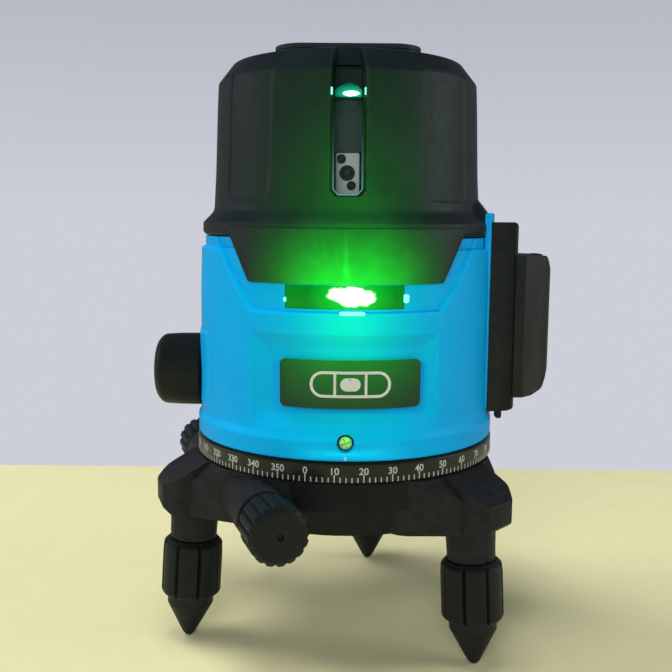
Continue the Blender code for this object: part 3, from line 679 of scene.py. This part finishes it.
def lower_housing():
    outer = densify(fillet([
        (46.9, 134.9), (47.4, 134.9, 0.2), (47.4, 131.7, 0.3), (48.75, 131.2, 0.5), (49.1, 118),
        (49.15, 106), (49.2, 80), (49.35, 77.2, 2.5), (50.3, 75, 2), (50.3, 69.9, 0.3),
        (50, 69.4, 0.2), (47, 69.4)]), 0.5)
    outer = refine(outer, 0.2, (70.5, 78.5))
    inner = [(46.6, 72), (46.6, 110), (45.9, 131)]
    columns = spans((-160, -96, -84, -20, 150, 200), (0.5, 0.25, 0.5, 2.5, 0.7))
    shell = revolve("housing_shell", outer + inner, columns, housing_wall, loop=True)
    opening = rectangle(*grown(LEVEL_WINDOW, 0.1), 0.3)
    boolean(shell, [cutter("window_opening", opening, 20, 70, facing(FRONT))])
    piece(shell, BLUE, "lower_housing", sharp=40)
    half = 48.6 * sin(radians(20.4))
    pad = plate("battery_pad", rectangle(-half, 78.2, half, 142.9, 1.6), -0.9, 1.15, edge=0.4,
                bend=on_wall(48.6, 0), slices=1.2)
    piece(pad, BLUE)
    piece(plate("index_mark", rectangle(-0.3, 69.8, 0.3, 70.7), 0, 0.06, edge=0.02,
                bend=on_wall(SKIRT_RADIUS)), WHITE)
    return shell, pad


# ---- dial

DIAL_RADIUS, DIAL_ZERO = 50.5, FRONT - 13.7      # the dial's nought stands left of the front
PRINT = 0.05                                     # height of print over a surface


def on_dial(angle, along, out, z):
    """A point on the dial's wall, from an angle and a length along the wall."""
    a = angle + along / DIAL_RADIUS
    return (DIAL_RADIUS + out) * cos(a), (DIAL_RADIUS + out) * sin(a), z


def dial_number(bm, number):
    text = bpy.data.curves.new("number", "FONT")
    text.body = str(number)
    text.align_x = "CENTER"
    text.size, text.offset, text.extrude = 2.95, 0.055, PRINT
    holder = add_object("number", text)
    mesh = evaluated_mesh(holder)
    angle = radians(DIAL_ZERO + number)
    for v in mesh.vertices:
        v.co = on_dial(angle, v.co.x, v.co.z, 65.5 + v.co.y)
    bm.from_mesh(mesh)
    remove([holder])
    bpy.data.meshes.remove(mesh)
    bpy.data.curves.remove(text)


def dial():
    profile = fillet([(45.6, 69), (50, 69, 0.4), (50.5, 68.4, 0.3), (50.5, 63.2, 0.3),
                      (50.1, 62.8, 0.2), (32, 62.8), (32, 65.9), (45.6, 65.9)], True)
    ring = revolve("dial_shell", profile, around(240), loop=True)
    piece(ring, DIAL_BLACK, "dial_ring", body="base")
    bm = bmesh.new()
    for degree in range(0, 360, 2):
        tall = 2.3 if degree % 10 == 0 else 1.5
        angle = radians(DIAL_ZERO + degree)
        outer, inner = ([bm.verts.new(on_dial(angle, x, out, z))
                         for x, z in rectangle(-0.18, 63.1, 0.18, 63.1 + tall)]
                        for out in (PRINT, -PRINT))
        bm.faces.new(outer)
        bm.faces.new(inner[::-1])
        for k in range(4):
            bm.faces.new((outer[k], inner[k], inner[(k + 1) % 4], outer[(k + 1) % 4]))
    for number in range(0, 360, 10):
        dial_number(bm, number)
    piece(to_object("dial_marks", bm, outward=False), DIAL_WHITE, body="base")


# ---- base

ARM_ANGLES = (79, 199, 319)
FOOT_CIRCLE, FOOT_SPLAY = 55.5, 3.5
WORM_ANGLE = 199
WORM = standing(polar(40, WORM_ANGLE, 53.5), polar(1, WORM_ANGLE + 90))
BASE_Z0, ARM_Z0, ARM_Z1, BASE_Z1 = 44.3, 45.1, 62.2, 62.5
REAR_SHIFT = 3.7                # the worm is this much shorter at the rear
TRIPOD_PITCH = 2.309            # of the 5/8 inch-11 thread


def foot_place(angle):
    lean = math.tan(radians(FOOT_SPLAY))
    return standing(polar(FOOT_CIRCLE, angle), Vector(polar(-lean, angle)) + Vector((0, 0, 1)))


def rod(name, z0, z1, radius, count, place=Matrix(), top=None):
    return revolve(name, [(0, z1), (top or radius, z1), (radius, z0), (0, z0)], around(count),
                   place=place)


def tribrach():
    core = revolve("base_casting", fillet([(0, BASE_Z1), (49.5, BASE_Z1, 0.8), (49.5, 53.5, 1.2),
                                           (44, BASE_Z0, 1), (0, BASE_Z0)]), around(128))
    arm_side = fillet([(36, ARM_Z0), (62, ARM_Z0, 1.2), (64.4, 47.3, 1.2), (64.4, 54.2, 1.4),
                       (62, 56.1, 1.8), (51, ARM_Z1, 3), (36, ARM_Z1)], True)
    arm_plan = fillet(mirrored([(30, -10.5), (59.6, -10.5, 3.4), (64.5, -5.6, 2.6)]), True)
    root_plan = fillet(mirrored([(30, -24), (43, -23.2, 8), (57, -10.5, 3)]), True)
    slope = fillet([(0, BASE_Z1), (50, BASE_Z1, 2), (58.6, 55.2, 1), (58.6, BASE_Z0 - 1),
                    (0, BASE_Z0 - 1)])
    tools = []
    for angle in ARM_ANGLES:
        turn = turned_to(angle)
        side = cutter("arm_side", arm_side, -12, 12, radial(angle))
        plan = cutter("arm_plan", arm_plan, BASE_Z0 - 1, BASE_Z1 + 1, turn)
        boolean(side, [plan], "INTERSECT")
        root = cutter("root", root_plan, ARM_Z0, ARM_Z1, turn)
        boolean(root, [revolve("slope", slope, around(96))], "INTERSECT")
        tools += [root, side, rod("sleeve", 34.9, 52, 7.6, 64, foot_place(angle), 8.2)]
    boss = rod("boss", REAR_SHIFT - 44, 44, 8.2, 64, WORM)
    boolean(core, tools + [boss], "UNION")
    cavity = revolve("cavity", [(0, 64), (37.5, 64), (37.5, 49.5), (16, 49.5), (16, 59.5),
                                (11.5, 59.5), (11.5, 43), (0, 43)], around(96))
    seats = [rod("bore", -50, 50, 4.5, 32, WORM), rod("seat_front", 36.7, 50, 5.65, 40, WORM),
             rod("seat_rear", -50, REAR_SHIFT - 36.7, 5.65, 40, WORM)]
    studs = [rod("stud", 30, 56.6, 4.5, 40, foot_place(angle)) for angle in ARM_ANGLES]
    boolean(core, [cavity] + seats + studs)
    bevel(core, 0.7, 3, 35)
    piece(core, CAST_BLACK, "tribrach", body="base", sharp=50)


def lobed(count, groove, width, low, high, taper):
    """Bump for a grip: grooves between broad lobes."""
    def bump(t, z, r):
        share = np.abs(((t * count / (2 * pi) + 0.5) % 1) - 0.5)
        dip = ease((share - (0.5 - width)) / width * 1.15)
        crown = 0.16 * (1.0 - (share / 0.5) ** 2)
        live = ease((z - low) / taper) * ease((high - z) / taper)
        return np.where(r > 6.6, r - groove * dip * live + crown * live, r)
    return bump


def ridge(t, z, pitch):
    """A thread's height, from 0 to 1."""
    return np.abs((z / pitch - t / (2 * pi)) % 1.0 - 0.5) * 2.0


def thread(pitch, depth, low, high):
    """Bump for a screw's outer thread."""
    def bump(t, z, r):
        live = ease((z - low) / pitch) * ease((high - z) / pitch)
        return np.where(np.abs(r) > 1, r - depth * np.clip(ridge(t, z, pitch) * 1.2, 0, 1) * live,
                        r)
    return bump


def feet():
    for number, angle in enumerate(ARM_ANGLES, 1):
        place = foot_place(angle)
        tip = revolve(f"foot_cone_{number}", fillet([
            (0, 15.3), (7.6, 15.3), (7.6, 12, 1.4), (2.1, 1.3, 1.2), (1, 0.06, 0.7), (0, 0)]),
            around(96), place=place)
        piece(tip, BLACK, f"foot_tip_{number}", body=f"foot_{number}_point")
        profile = densify(fillet([
            (4.3, 34.5), (8.2, 34.5, 0.6), (9.5, 33, 1), (9.7, 30), (9.7, 16.4, 1),
            (8.9, 15.4, 0.5), (4.3, 15.4)]), 0.7)
        wheel = revolve(f"foot_grip_{number}", profile, around(8 * 22),
                        lobed(8, 1.15, 0.085, 14.4, 34.6, 1.3), loop=True, place=place)
        piece(wheel, BLACK, f"foot_wheel_{number}", body=f"foot_{number}_wheel")
        stud = densify([(0, 56), (3.4, 56), (4, 55.4), (4, 21.4), (0, 21.4)], 0.16)
        piece(revolve(f"foot_screw_{number}", stud, around(36), thread(1.25, 0.55, 22, 55.5),
                      place=place), STEEL, f"foot_stud_{number}", body=f"foot_{number}_wheel")


def fine_knobs():
    profile = densify(fillet([
        (0, 60.6), (0.7, 60.7, 0.3), (1.15, 61.5, 0.25), (7.3, 61.5, 0.8), (8.7, 60.2, 0.8),
        (8.75, 50), (8.6, 48.2, 0.6), (7.9, 46, 0.4), (3, 46), (0, 46)]), 0.6)
    for name, shift, half_turn in (("front", 0, 0), ("rear", REAR_SHIFT, pi)):
        place = WORM @ Matrix.Translation((0, 0, shift)) @ Matrix.Rotation(half_turn, 4, "X")
        knob = revolve(f"fine_grip_{name}", profile, around(16 * 16),
                       lobed(16, 0.75, 0.24, 46.6, 60.9, 1), place=place)
        piece(knob, BLACK, f"fine_knob_{name}", body="worm")


def thread_insert():
    profile = [(11.2, 44.3), (11.2, 58.8)] + densify([(7.3, 58.8), (7.3, 44.3)], 0.2)

    def groove(t, z, r):
        return np.where(r < 8, r + 0.62 * ridge(t, z, TRIPOD_PITCH) - 0.25, r)
    piece(revolve("insert_thread", profile, around(72), groove, loop=True), BRASS, "thread_insert",
          body="base")


# ---- lock knob and battery

def lock_knob():
    place = standing((0, 0, LOCK_Z), (-1, 0, 0))
    profile = densify(fillet([(0, 65.5), (6, 65.2), (9.6, 64.5, 4), (12, 62.6, 3.2), (12.35, 57),
                              (12.4, 49.2, 0.3), (11.6, 48.9), (0, 48.9)], steps=6), 1)
    piece(revolve("lock_grip", profile, around(128), place=place), BLACK, "lock_knob", body="lock")


def rounded_block(name, plan, side, z0, z1, width):
    """A block cut to a plan and a side view, with its edges rounded by a width."""
    block = cutter(name, fillet(plan, True, 5), z0, z1)
    boolean(block, [cutter("side", fillet(side, True, 6), -30, 30, radial(0))], "INTERSECT")
    return bevel(block, width, 3, 30)


def battery():
    plan = mirrored([(42, -17.1), (54.9, -17.1, 0.6), (55.7, -16.3, 0.6)])
    side = [(42, 77.6), (53.4, 78.2, 1), (55.7, 79, 1.2), (55.7, 140, 1.7), (42, 140)]
    holder = rounded_block("battery_rail", plan, side, 76, 141, 0.3)
    boolean(holder, [rod("rail_hollow", 60, 150, 49.78, 240)])
    rail_feet = [plate("rail_foot", rectangle(49.9, y, 52, y + 4, 0.8), 75.4, 78.4, edge=0.2,
                       back_edge=0.7) for y in (-16.6, 12.6)]
    piece(holder, BLACK, "battery_holder")
    piece(merge(rail_feet, "rail_feet"), BLACK)
    plan = mirrored([(54.9, -18.4), (58, -18.4, 0.5), (67.7, -8.3, 1), (68.9, -5.6, 1.5)])
    side = [(50, 82.9), (61.8, 82.9, 2), (66.4, 84.4, 3), (68.9, 91, 6),
            (68.9, 124.4, 3), (66.8, 129.1, 1.4), (50, 129.1)]
    pack = rounded_block("battery_case", plan, side, 82, 130, 0.35)
    boolean(pack, [cutter("rail_seat", rectangle(50, -17.3, 56, 17.3), 70, 140),
                   cutter("latch_pocket", rectangle(63.3, -5.4, 66.7, 5.4, 0.8), 125.8, 135)])
    piece(pack, BLACK, "battery_pack", body="battery")
    piece(plate("latch_tab", rectangle(63.6, -5, 66.4, 5, 1.1), 127.1, 129.45, edge=0.4), BLACK,
          "battery_latch", body="battery_latch")


# ---- label, screw, top

def label():
    """The label's film, with a spirit level's tube and bubble, a sign that belongs to nobody."""
    film = plate("label_film", rectangle(*LABEL, 1.7, 5), -0.4, 0.12, edge=0.08,
                 bend=on_wall(48.75), slices=1.2)
    piece(film, LABEL_BLACK, "label_plate")
    middle = (LABEL[0] + LABEL[2]) / 2
    low, high = 88.3, 96.2

    def mark(name, half, inset_by, *corner, x=middle, **values):
        outline = rectangle(x - half, low + inset_by, x + half, high - inset_by, *corner)
        return plate(name, outline, 0, PRINT, edge=0.02, bend=on_wall(48.87), **values)
    marks = [mark("tube", 12, 0, 3.9, 8, slices=1, hollow=0.85),
             mark("tick", 0.4, 0.85, x=middle - 4.6), mark("tick", 0.4, 0.85, x=middle + 4.6),
             mark("bubble", 3, 2, 1.9, 8)]
    piece(merge(marks, "label_sign"), WHITE)
    return film


def screw():
    place = standing((0, 0, SCREW_Z), (0, -1, 0))
    head = revolve("screw_head", fillet([
        (0, 49.3), (1.2, 49.2), (1.9, 48.7, 0.6), (2.05, 48.1, 0.2), (1.25, 48), (1.25, 43.6),
        (0, 43.6)]), around(48), place=place)
    boolean(head, [cutter("blade", rectangle(-1.35, -0.26, 1.35, 0.26, 0.1), 48.3, 50,
                          place @ turned_to(angle)) for angle in (20, 110)])
    piece(head, SCREW_PAINTED_GREEN_LIGHT, "front_screw")
    piece(revolve("screw_seat", [(1, 47.6), (2.7, 47.6), (2.7, 47.2), (1, 47.2)], around(40),
                  loop=True, place=place), BLACK)
    return head


def keys():
    for number, x in enumerate(KEY_X, 1):
        cap = revolve(f"key_{number}", fillet([
            (0, 194.75), (2.6, 194.9, 0.8), (3.4, 195.1, 0.35), (3.95, 194.7, 0.3), (4.05, 191.9),
            (0, 191.9)]), around(64), place=Matrix.Translation((x, KEY_Y, 0)))
        piece(cap, RUBBER, f"button_{number}", body=f"button_{number}")
        if number == 1:
            shapes = [plate("sign", circle(1.55, 32, x, KEY_Y), *SIGN_Z, edge=0.02, hollow=0.32)]
        else:
            shapes = [plate("sign", rectangle(x - 1.5, KEY_Y + y - 0.17, x + 1.5, KEY_Y + y + 0.17),
                            *SIGN_Z, edge=0.02) for y in ((0,) if number == 2 else (-0.7, 0.7))]
        piece(merge(shapes, f"key_sign_{number}"), WHITE, body=f"button_{number}",
              slot="button_rubber")
        lamp = plate(f"lamp_{number}", circle(0.6, 20, x, -18.6), 194.3, 194.52, edge=0.1)
        piece(lamp, GREY_PRINT)


def vial():
    """The round level, from profiles about its own middle."""
    for name, points, count, loop, finish, nodes in (
            ("vial_cup", fillet([
                (0, 191.3), (5.5, 191.3), (5.5, 194.6), (5.9, 194.95, 0.2), (7.3, 194.95, 0.3),
                (7.5, 194.5, 0.2), (7.5, 190.2), (0, 190.2)]), 72, False, BLACK,
             ["level_vial_body"]),
            ("vial_fluid", fillet([
                (0, 194.85), (3, 194.8), (5, 194.55, 0.2), (5.35, 194.3, 0.2), (5.35, 191.5),
                (0, 191.5)]), 72, False, VIAL, ["level_vial_glass"]),
            ("vial_ring", [(1.9, 194.86), (2.05, 194.88), (2.2, 194.86), (2.05, 194.8)], 64, True,
             LABEL_BLACK, []),
            ("vial_bubble", fillet([(0, 194.9), (0.8, 194.88), (1.3, 194.8, 0.2), (0, 194.6)]), 40,
             False, BUBBLE, [])):
        part = revolve(name, points, around(count), loop=loop,
                       place=Matrix.Translation((0, VIAL_Y, 0)))
        piece(part, finish, *nodes)


def top():
    panel = plate("keypad", TOP_OUTLINE, 192.95, 194.4, edge=0.45)
    holes = [circle(7.7, y=VIAL_Y)] + [circle(4.4, 40, x, KEY_Y) for x in KEY_X]
    boolean(panel, [cutter("hole", outline, 190, 200) for outline in holes])
    bevel(panel, 0.12, 2, 40)
    piece(panel, PANEL, "top_panel", sharp=12)
    keys()
    vial()


# ---- windows, lenses and modules

def side_window(side, angle):
    flat = facing(angle)
    glass_z1 = SLOT_BEND - 1.1
    outline = slot_front(4.5, SLOT_Z0 + 0.5, glass_z1, 1.6, 0.3)
    pane = plate(f"pane_{side}", outline, 37.8, 39, edge=0.25, place=flat)
    slanted = slot_prism(f"slant_{side}", [(33.2, 185.6), (32.2, 185.6), (37.8, glass_z1 + 0.05),
                                           (39, glass_z1 + 0.05)], 4.1, angle)
    piece(slanted, SMOKED)
    piece(pane, WINDOW, f"window_{side}")
    rim = plate(f"pane_edge_{side}", outline, 38.9, 39.15, edge=0.08, place=flat, hollow=0.35)
    # the front rim carries painted laser light, the other rims are plain
    piece(rim, EDGE_LIT if side == "front" else EDGE_PLAIN)
    reach, core = (tuple(abs(v) for v in turned_to(angle).to_3x3() @ Vector(size))
                   for size in ((9, 4.4, 2), (9, 2.4, 0.62)))
    lit = glow(f"slot_glow_{side}", flat @ Vector((1.2, 176.9, 39.6)), reach, core,
               (0, 0.62, 0.33))
    lens = plate(f"line_lens_{side}", fillet([
        (-3.9, 176, 0.5), (3.9, 176, 0.5), (3.9, 178, 0.6), (2.7, 179.2, 1.2),
        (0.3, 180.2, 1.5), (-2.4, 179.2, 1.2), (-3.9, 178, 0.6)], True), 36.6, 39.6, edge=0.7,
        back_edge=0.3, place=flat)
    piece(lens, lit)
    # painted glints of the laser line on the slot's walls
    glints = [plate("glint", rectangle(x - w, 176.3, x + w, 178.5, w * 0.9), 41.2, 41.5, edge=0.12,
                    place=flat) for x, w in ((-5, 0.42), (5, 0.3))]
    piece(merge(glints, f"slot_glint_{side}"), GLINT)


def level_window():
    lit = glow("level_glow", (1.4, -47.7, 118.1), (12, 30, 9), (7, 30, 2.4),
               (0, 0.8, 0.02), floor=0.3)
    piece(plate("level_pane", rectangle(*LEVEL_WINDOW, 0.4), -1.2, 0, edge=0.25,
                bend=on_wall(47.75), slices=1), lit, "horizontal_window")
    # painted glint: the laser's light reflected on the ledge under the window
    piece(plate("ledge_glint", rectangle(-2.2, 112.6, 5.4, 113.8, 0.6, 6), -0.3, 0.1, edge=0.15,
                bend=on_wall(49.05), slices=1), GLINT)
    # painted glints where the pane's ends meet the housing
    ends = [plate("end", rectangle(x - w, z - h, x + w, z + h, w, 8), -0.6, 0.15, edge=0.3,
                  bend=on_wall(47.8))
            for x, z, w, h in ((-18.3, 116.9, 0.45, 0.7), (17.7, 117.4, 0.8, 1.3))]
    piece(merge(ends, "level_pane_end_glints"), GLINT)


def module(side, angle):
    """What shows behind a slot's glass: the laser module's carrier, cover and screws."""
    flat = facing(angle)
    front = 31.9
    barrel = revolve(f"barrel_{side}", fillet([
        (0, 23.2), (1.6, 23.2), (1.9, 24, 0.1), (5.4, 24, 0.3), (6, 23.4, 0.3), (6, 19),
        (5.6, 18.6), (5.6, 17.8), (6, 17.4), (6, 6.6, 0.4), (0, 6.6)]), around(64),
        place=standing((0, 0, 175), polar(1, angle)))
    piece(barrel, BRASS, f"line_laser_{side}", body="pendulum")
    piece(plate(f"module_cover_{side}", rectangle(-4.6, 160.5, 4.6, 176.6, 0.8), 24.05, front,
                edge=0.35, place=flat), MODULE, body="pendulum")
    # the side carriers stand clear of the chassis posts
    face = 33.85 if side in ("left", "right") else front
    carrier = plate(f"module_carrier_{side}", rectangle(-3.6, 148, 3.6, 160.4, 0.6), face - 0.9,
                    face, edge=0.2, place=flat)
    screws = ((2.3, -0.1, 154.4), (1.35, -1.9, 158.6), (1.35, 1.2, 150.6))
    boolean(carrier, [cutter("hole", circle(r + 0.1, 32, x, z), face - 1, 50, flat)
                      for r, x, z in screws])
    piece(carrier, SILVER, body="pendulum")
    for k, (r, x, z) in enumerate(screws):
        spot = flat @ Matrix.Translation((x, z, face))
        head = revolve(f"module_screw_{side}_{k}", fillet([
            (0, -0.3), (r * 0.5, -0.25, 0.1), (r * 0.62, 0.1, 0.1), (r * 0.9, 0.1, 0.1),
            (r, -0.15, 0.1), (r, -0.8), (0, -0.8)]), around(32), place=spot)
        boolean(head, [cutter("blade", rectangle(-r * 0.45, -0.16, r * 0.45, 0.16), -0.6, 1,
                              spot @ turned_to(35 + 50 * k))])
        piece(head, SCREW_BLACK, body="pendulum")


for finish, names in (
        (ALUMINIUM, "hub_spindle chassis pendulum_frame"),
        (BRASS, "worm_wheel worm_bush_front worm_bush_rear horizontal_laser balance_weight "
                "plumb_laser"),
        (STEEL, "worm_shaft gimbal_cross gimbal_bearing_left gimbal_bearing_right "
                "pendulum_bearing_front pendulum_bearing_rear lock_shaft"),
        (PANEL, "clutch_ring"), (COPPER, "damper_disc"), (MAGNET, "magnet_ring"),
        (BOARD, "circuit_board")):
    for node_name in names.split():
        materials = frame["nodes"][node_name].data.materials
        materials.clear()
        materials.append(finish.mat)

cap_shell, cap_apron = upper_cap()
housing_pieces = lower_housing()
dial()
tribrach()
feet()
fine_knobs()
thread_insert()
lock_knob()
battery()
label_film = label()
screw_head = screw()
top()
for each_side in SIDES:
    side_window(*each_side)
level_window()
for each_side in SIDES:
    module(*each_side)


# ---- stage, lights and camera

def stage():
    fin = plastic("floor_sheet", (0.80, 0.765, 0.44), 0.7, 1.2, 0.008, 0.02, specular=0.2)
    mesh = bpy.data.meshes.new("floor")
    mesh.from_pydata([(x + AXIS.x, y + AXIS.y, 0.0) for x, y in rectangle(-2.6, -2.6, 2.6, 0.19)],
                     [], [(0, 1, 2, 3)])
    mesh.materials.append(fin.mat)
    add_object("floor", mesh)


def area(name, place, target, size, power, gloss, color):
    light = bpy.data.lights.new(name, "AREA")
    light.shape, light.size, light.energy, light.color = "DISK", size, power, color
    obj = add_object(name, light)
    obj.visible_glossy = gloss
    obj.location = AXIS + Vector(place)
    aim = Vector(target) - Vector(place)
    obj.rotation_euler = aim.to_track_quat("-Z", "Y").to_euler()
    return obj


def link_light(obj, receivers):
    """Let a light reach only some pieces, and turn it with the instrument."""
    obj.visible_camera = obj.visible_glossy = False
    lit = bpy.data.collections.new(obj.name + "_lit")
    for receiver in receivers:
        lit.objects.link(receiver)
    obj.light_linking.receiver_collection = lit
    obj.parent = frame["bodies"]["instrument"]


def glow_light(name, place, power, *receivers):
    """The laser's stray light on the pieces beside its window."""
    light = bpy.data.lights.new(name, "POINT")
    light.energy, light.color, light.shadow_soft_size = power, (0.0, 1.0, 0.02), 1.5 * MM
    obj = add_object(name, light)
    obj.location = AXIS + Vector(place) * MM
    link_light(obj, receivers)


def backdrop():
    """Pale studio air, darker overhead. It lights the scene less than it shows."""
    world = bpy.data.worlds.new("studio")
    bpy.context.scene.world = world
    world.use_nodes = True
    nodes, link = world.node_tree.nodes, world.node_tree.links.new
    coords, split, ramp, path, share = (nodes.new("ShaderNode" + kind) for kind in (
        "TexCoord", "SeparateXYZ", "ValToRGB", "LightPath", "MapRange"))
    share.inputs["To Min"].default_value = 0.5
    background = nodes["Background"].inputs
    link(coords.outputs["Generated"], split.inputs[0])
    link(split.outputs["Z"], ramp.inputs[0])
    link(ramp.outputs[0], background["Color"])
    link(path.outputs["Is Camera Ray"], share.inputs[0])
    link(share.outputs[0], background["Strength"])
    colours = ramp.color_ramp.elements
    colours[0].color = (0.61, 0.62, 0.69, 1.0)
    colours[1].position = 0.5
    colours[1].color = (0.31, 0.32, 0.39, 1.0)
    colours.new(0.6).color = (0.12, 0.13, 0.15, 1.0)


WARM, COOL = (1.0, 0.99, 0.97), (0.97, 0.98, 1.0)


def lights():
    backdrop()
    area("key", (-0.75, 0.2, 1.25), (0, 0, 0.05), 0.7, 9.0, False, WARM)
    area("top", (-0.1, -0.1, 1.3), (0, 0, 0.05), 0.5, 5.5, False, WARM)
    area("front", (-0.3, -1.4, 0.7), (0, 0, 0.12), 0.9, 11.0, False, COOL)
    area("side", (1.3, -0.1, 0.5), (0, 0, 0.1), 0.8, 5.0, True, (0.93, 0.98, 1.0))
    area("rim", (-1.3, 0.15, 0.5), (0, 0, 0.12), 0.7, 2.2, True, (0.90, 0.98, 1.0))
    for number, x in enumerate((-8.0, 10.5), 1):
        glow_light(f"apron_glow_{number}", (x, -62.0, 118.6), 0.44, cap_apron)
        glow_light(f"label_glow_{number}", (x, -63.0, 120.0), 0.24, label_film)
    glow_light("cap_glow", (1.5, -72.0, 136.0), 0.32, cap_shell)
    glow_light("screw_glow", (1.0, -55.0, 79.0), 0.004, screw_head)
    streak = area("skirt_streak", (0.001, -0.0514, 0.0717), (0.001, 0, 0.0717), 0.032, 0.0002,
                  False, (0.1, 1.0, 0.6))
    streak.data.shape, streak.data.size_y = "RECTANGLE", 0.0006
    link_light(streak, housing_pieces)
    glow_light("housing_glow", (1.5, -70.0, 111.0), 0.03, *housing_pieces)


def camera():
    data = bpy.data.cameras.new("camera")
    data.sensor_width, data.lens, data.clip_start = 36.0, 47.98, 0.01
    obj = add_object("camera", data)
    yaw, pitch, roll = radians(-0.142), radians(-7.333), radians(0.466)
    turn = (Matrix.Rotation(-yaw, 4, "Z") @ Matrix.Rotation(pi / 2 + pitch, 4, "X")
            @ Matrix.Rotation(roll, 4, "Z"))
    obj.matrix_world = Matrix.Translation(AXIS + Vector((-2.41, -307.8, 140.03)) * MM) @ turn
    bpy.context.scene.camera = obj


stage()
lights()
camera()
bpy.context.scene.view_settings.view_transform = "Standard"
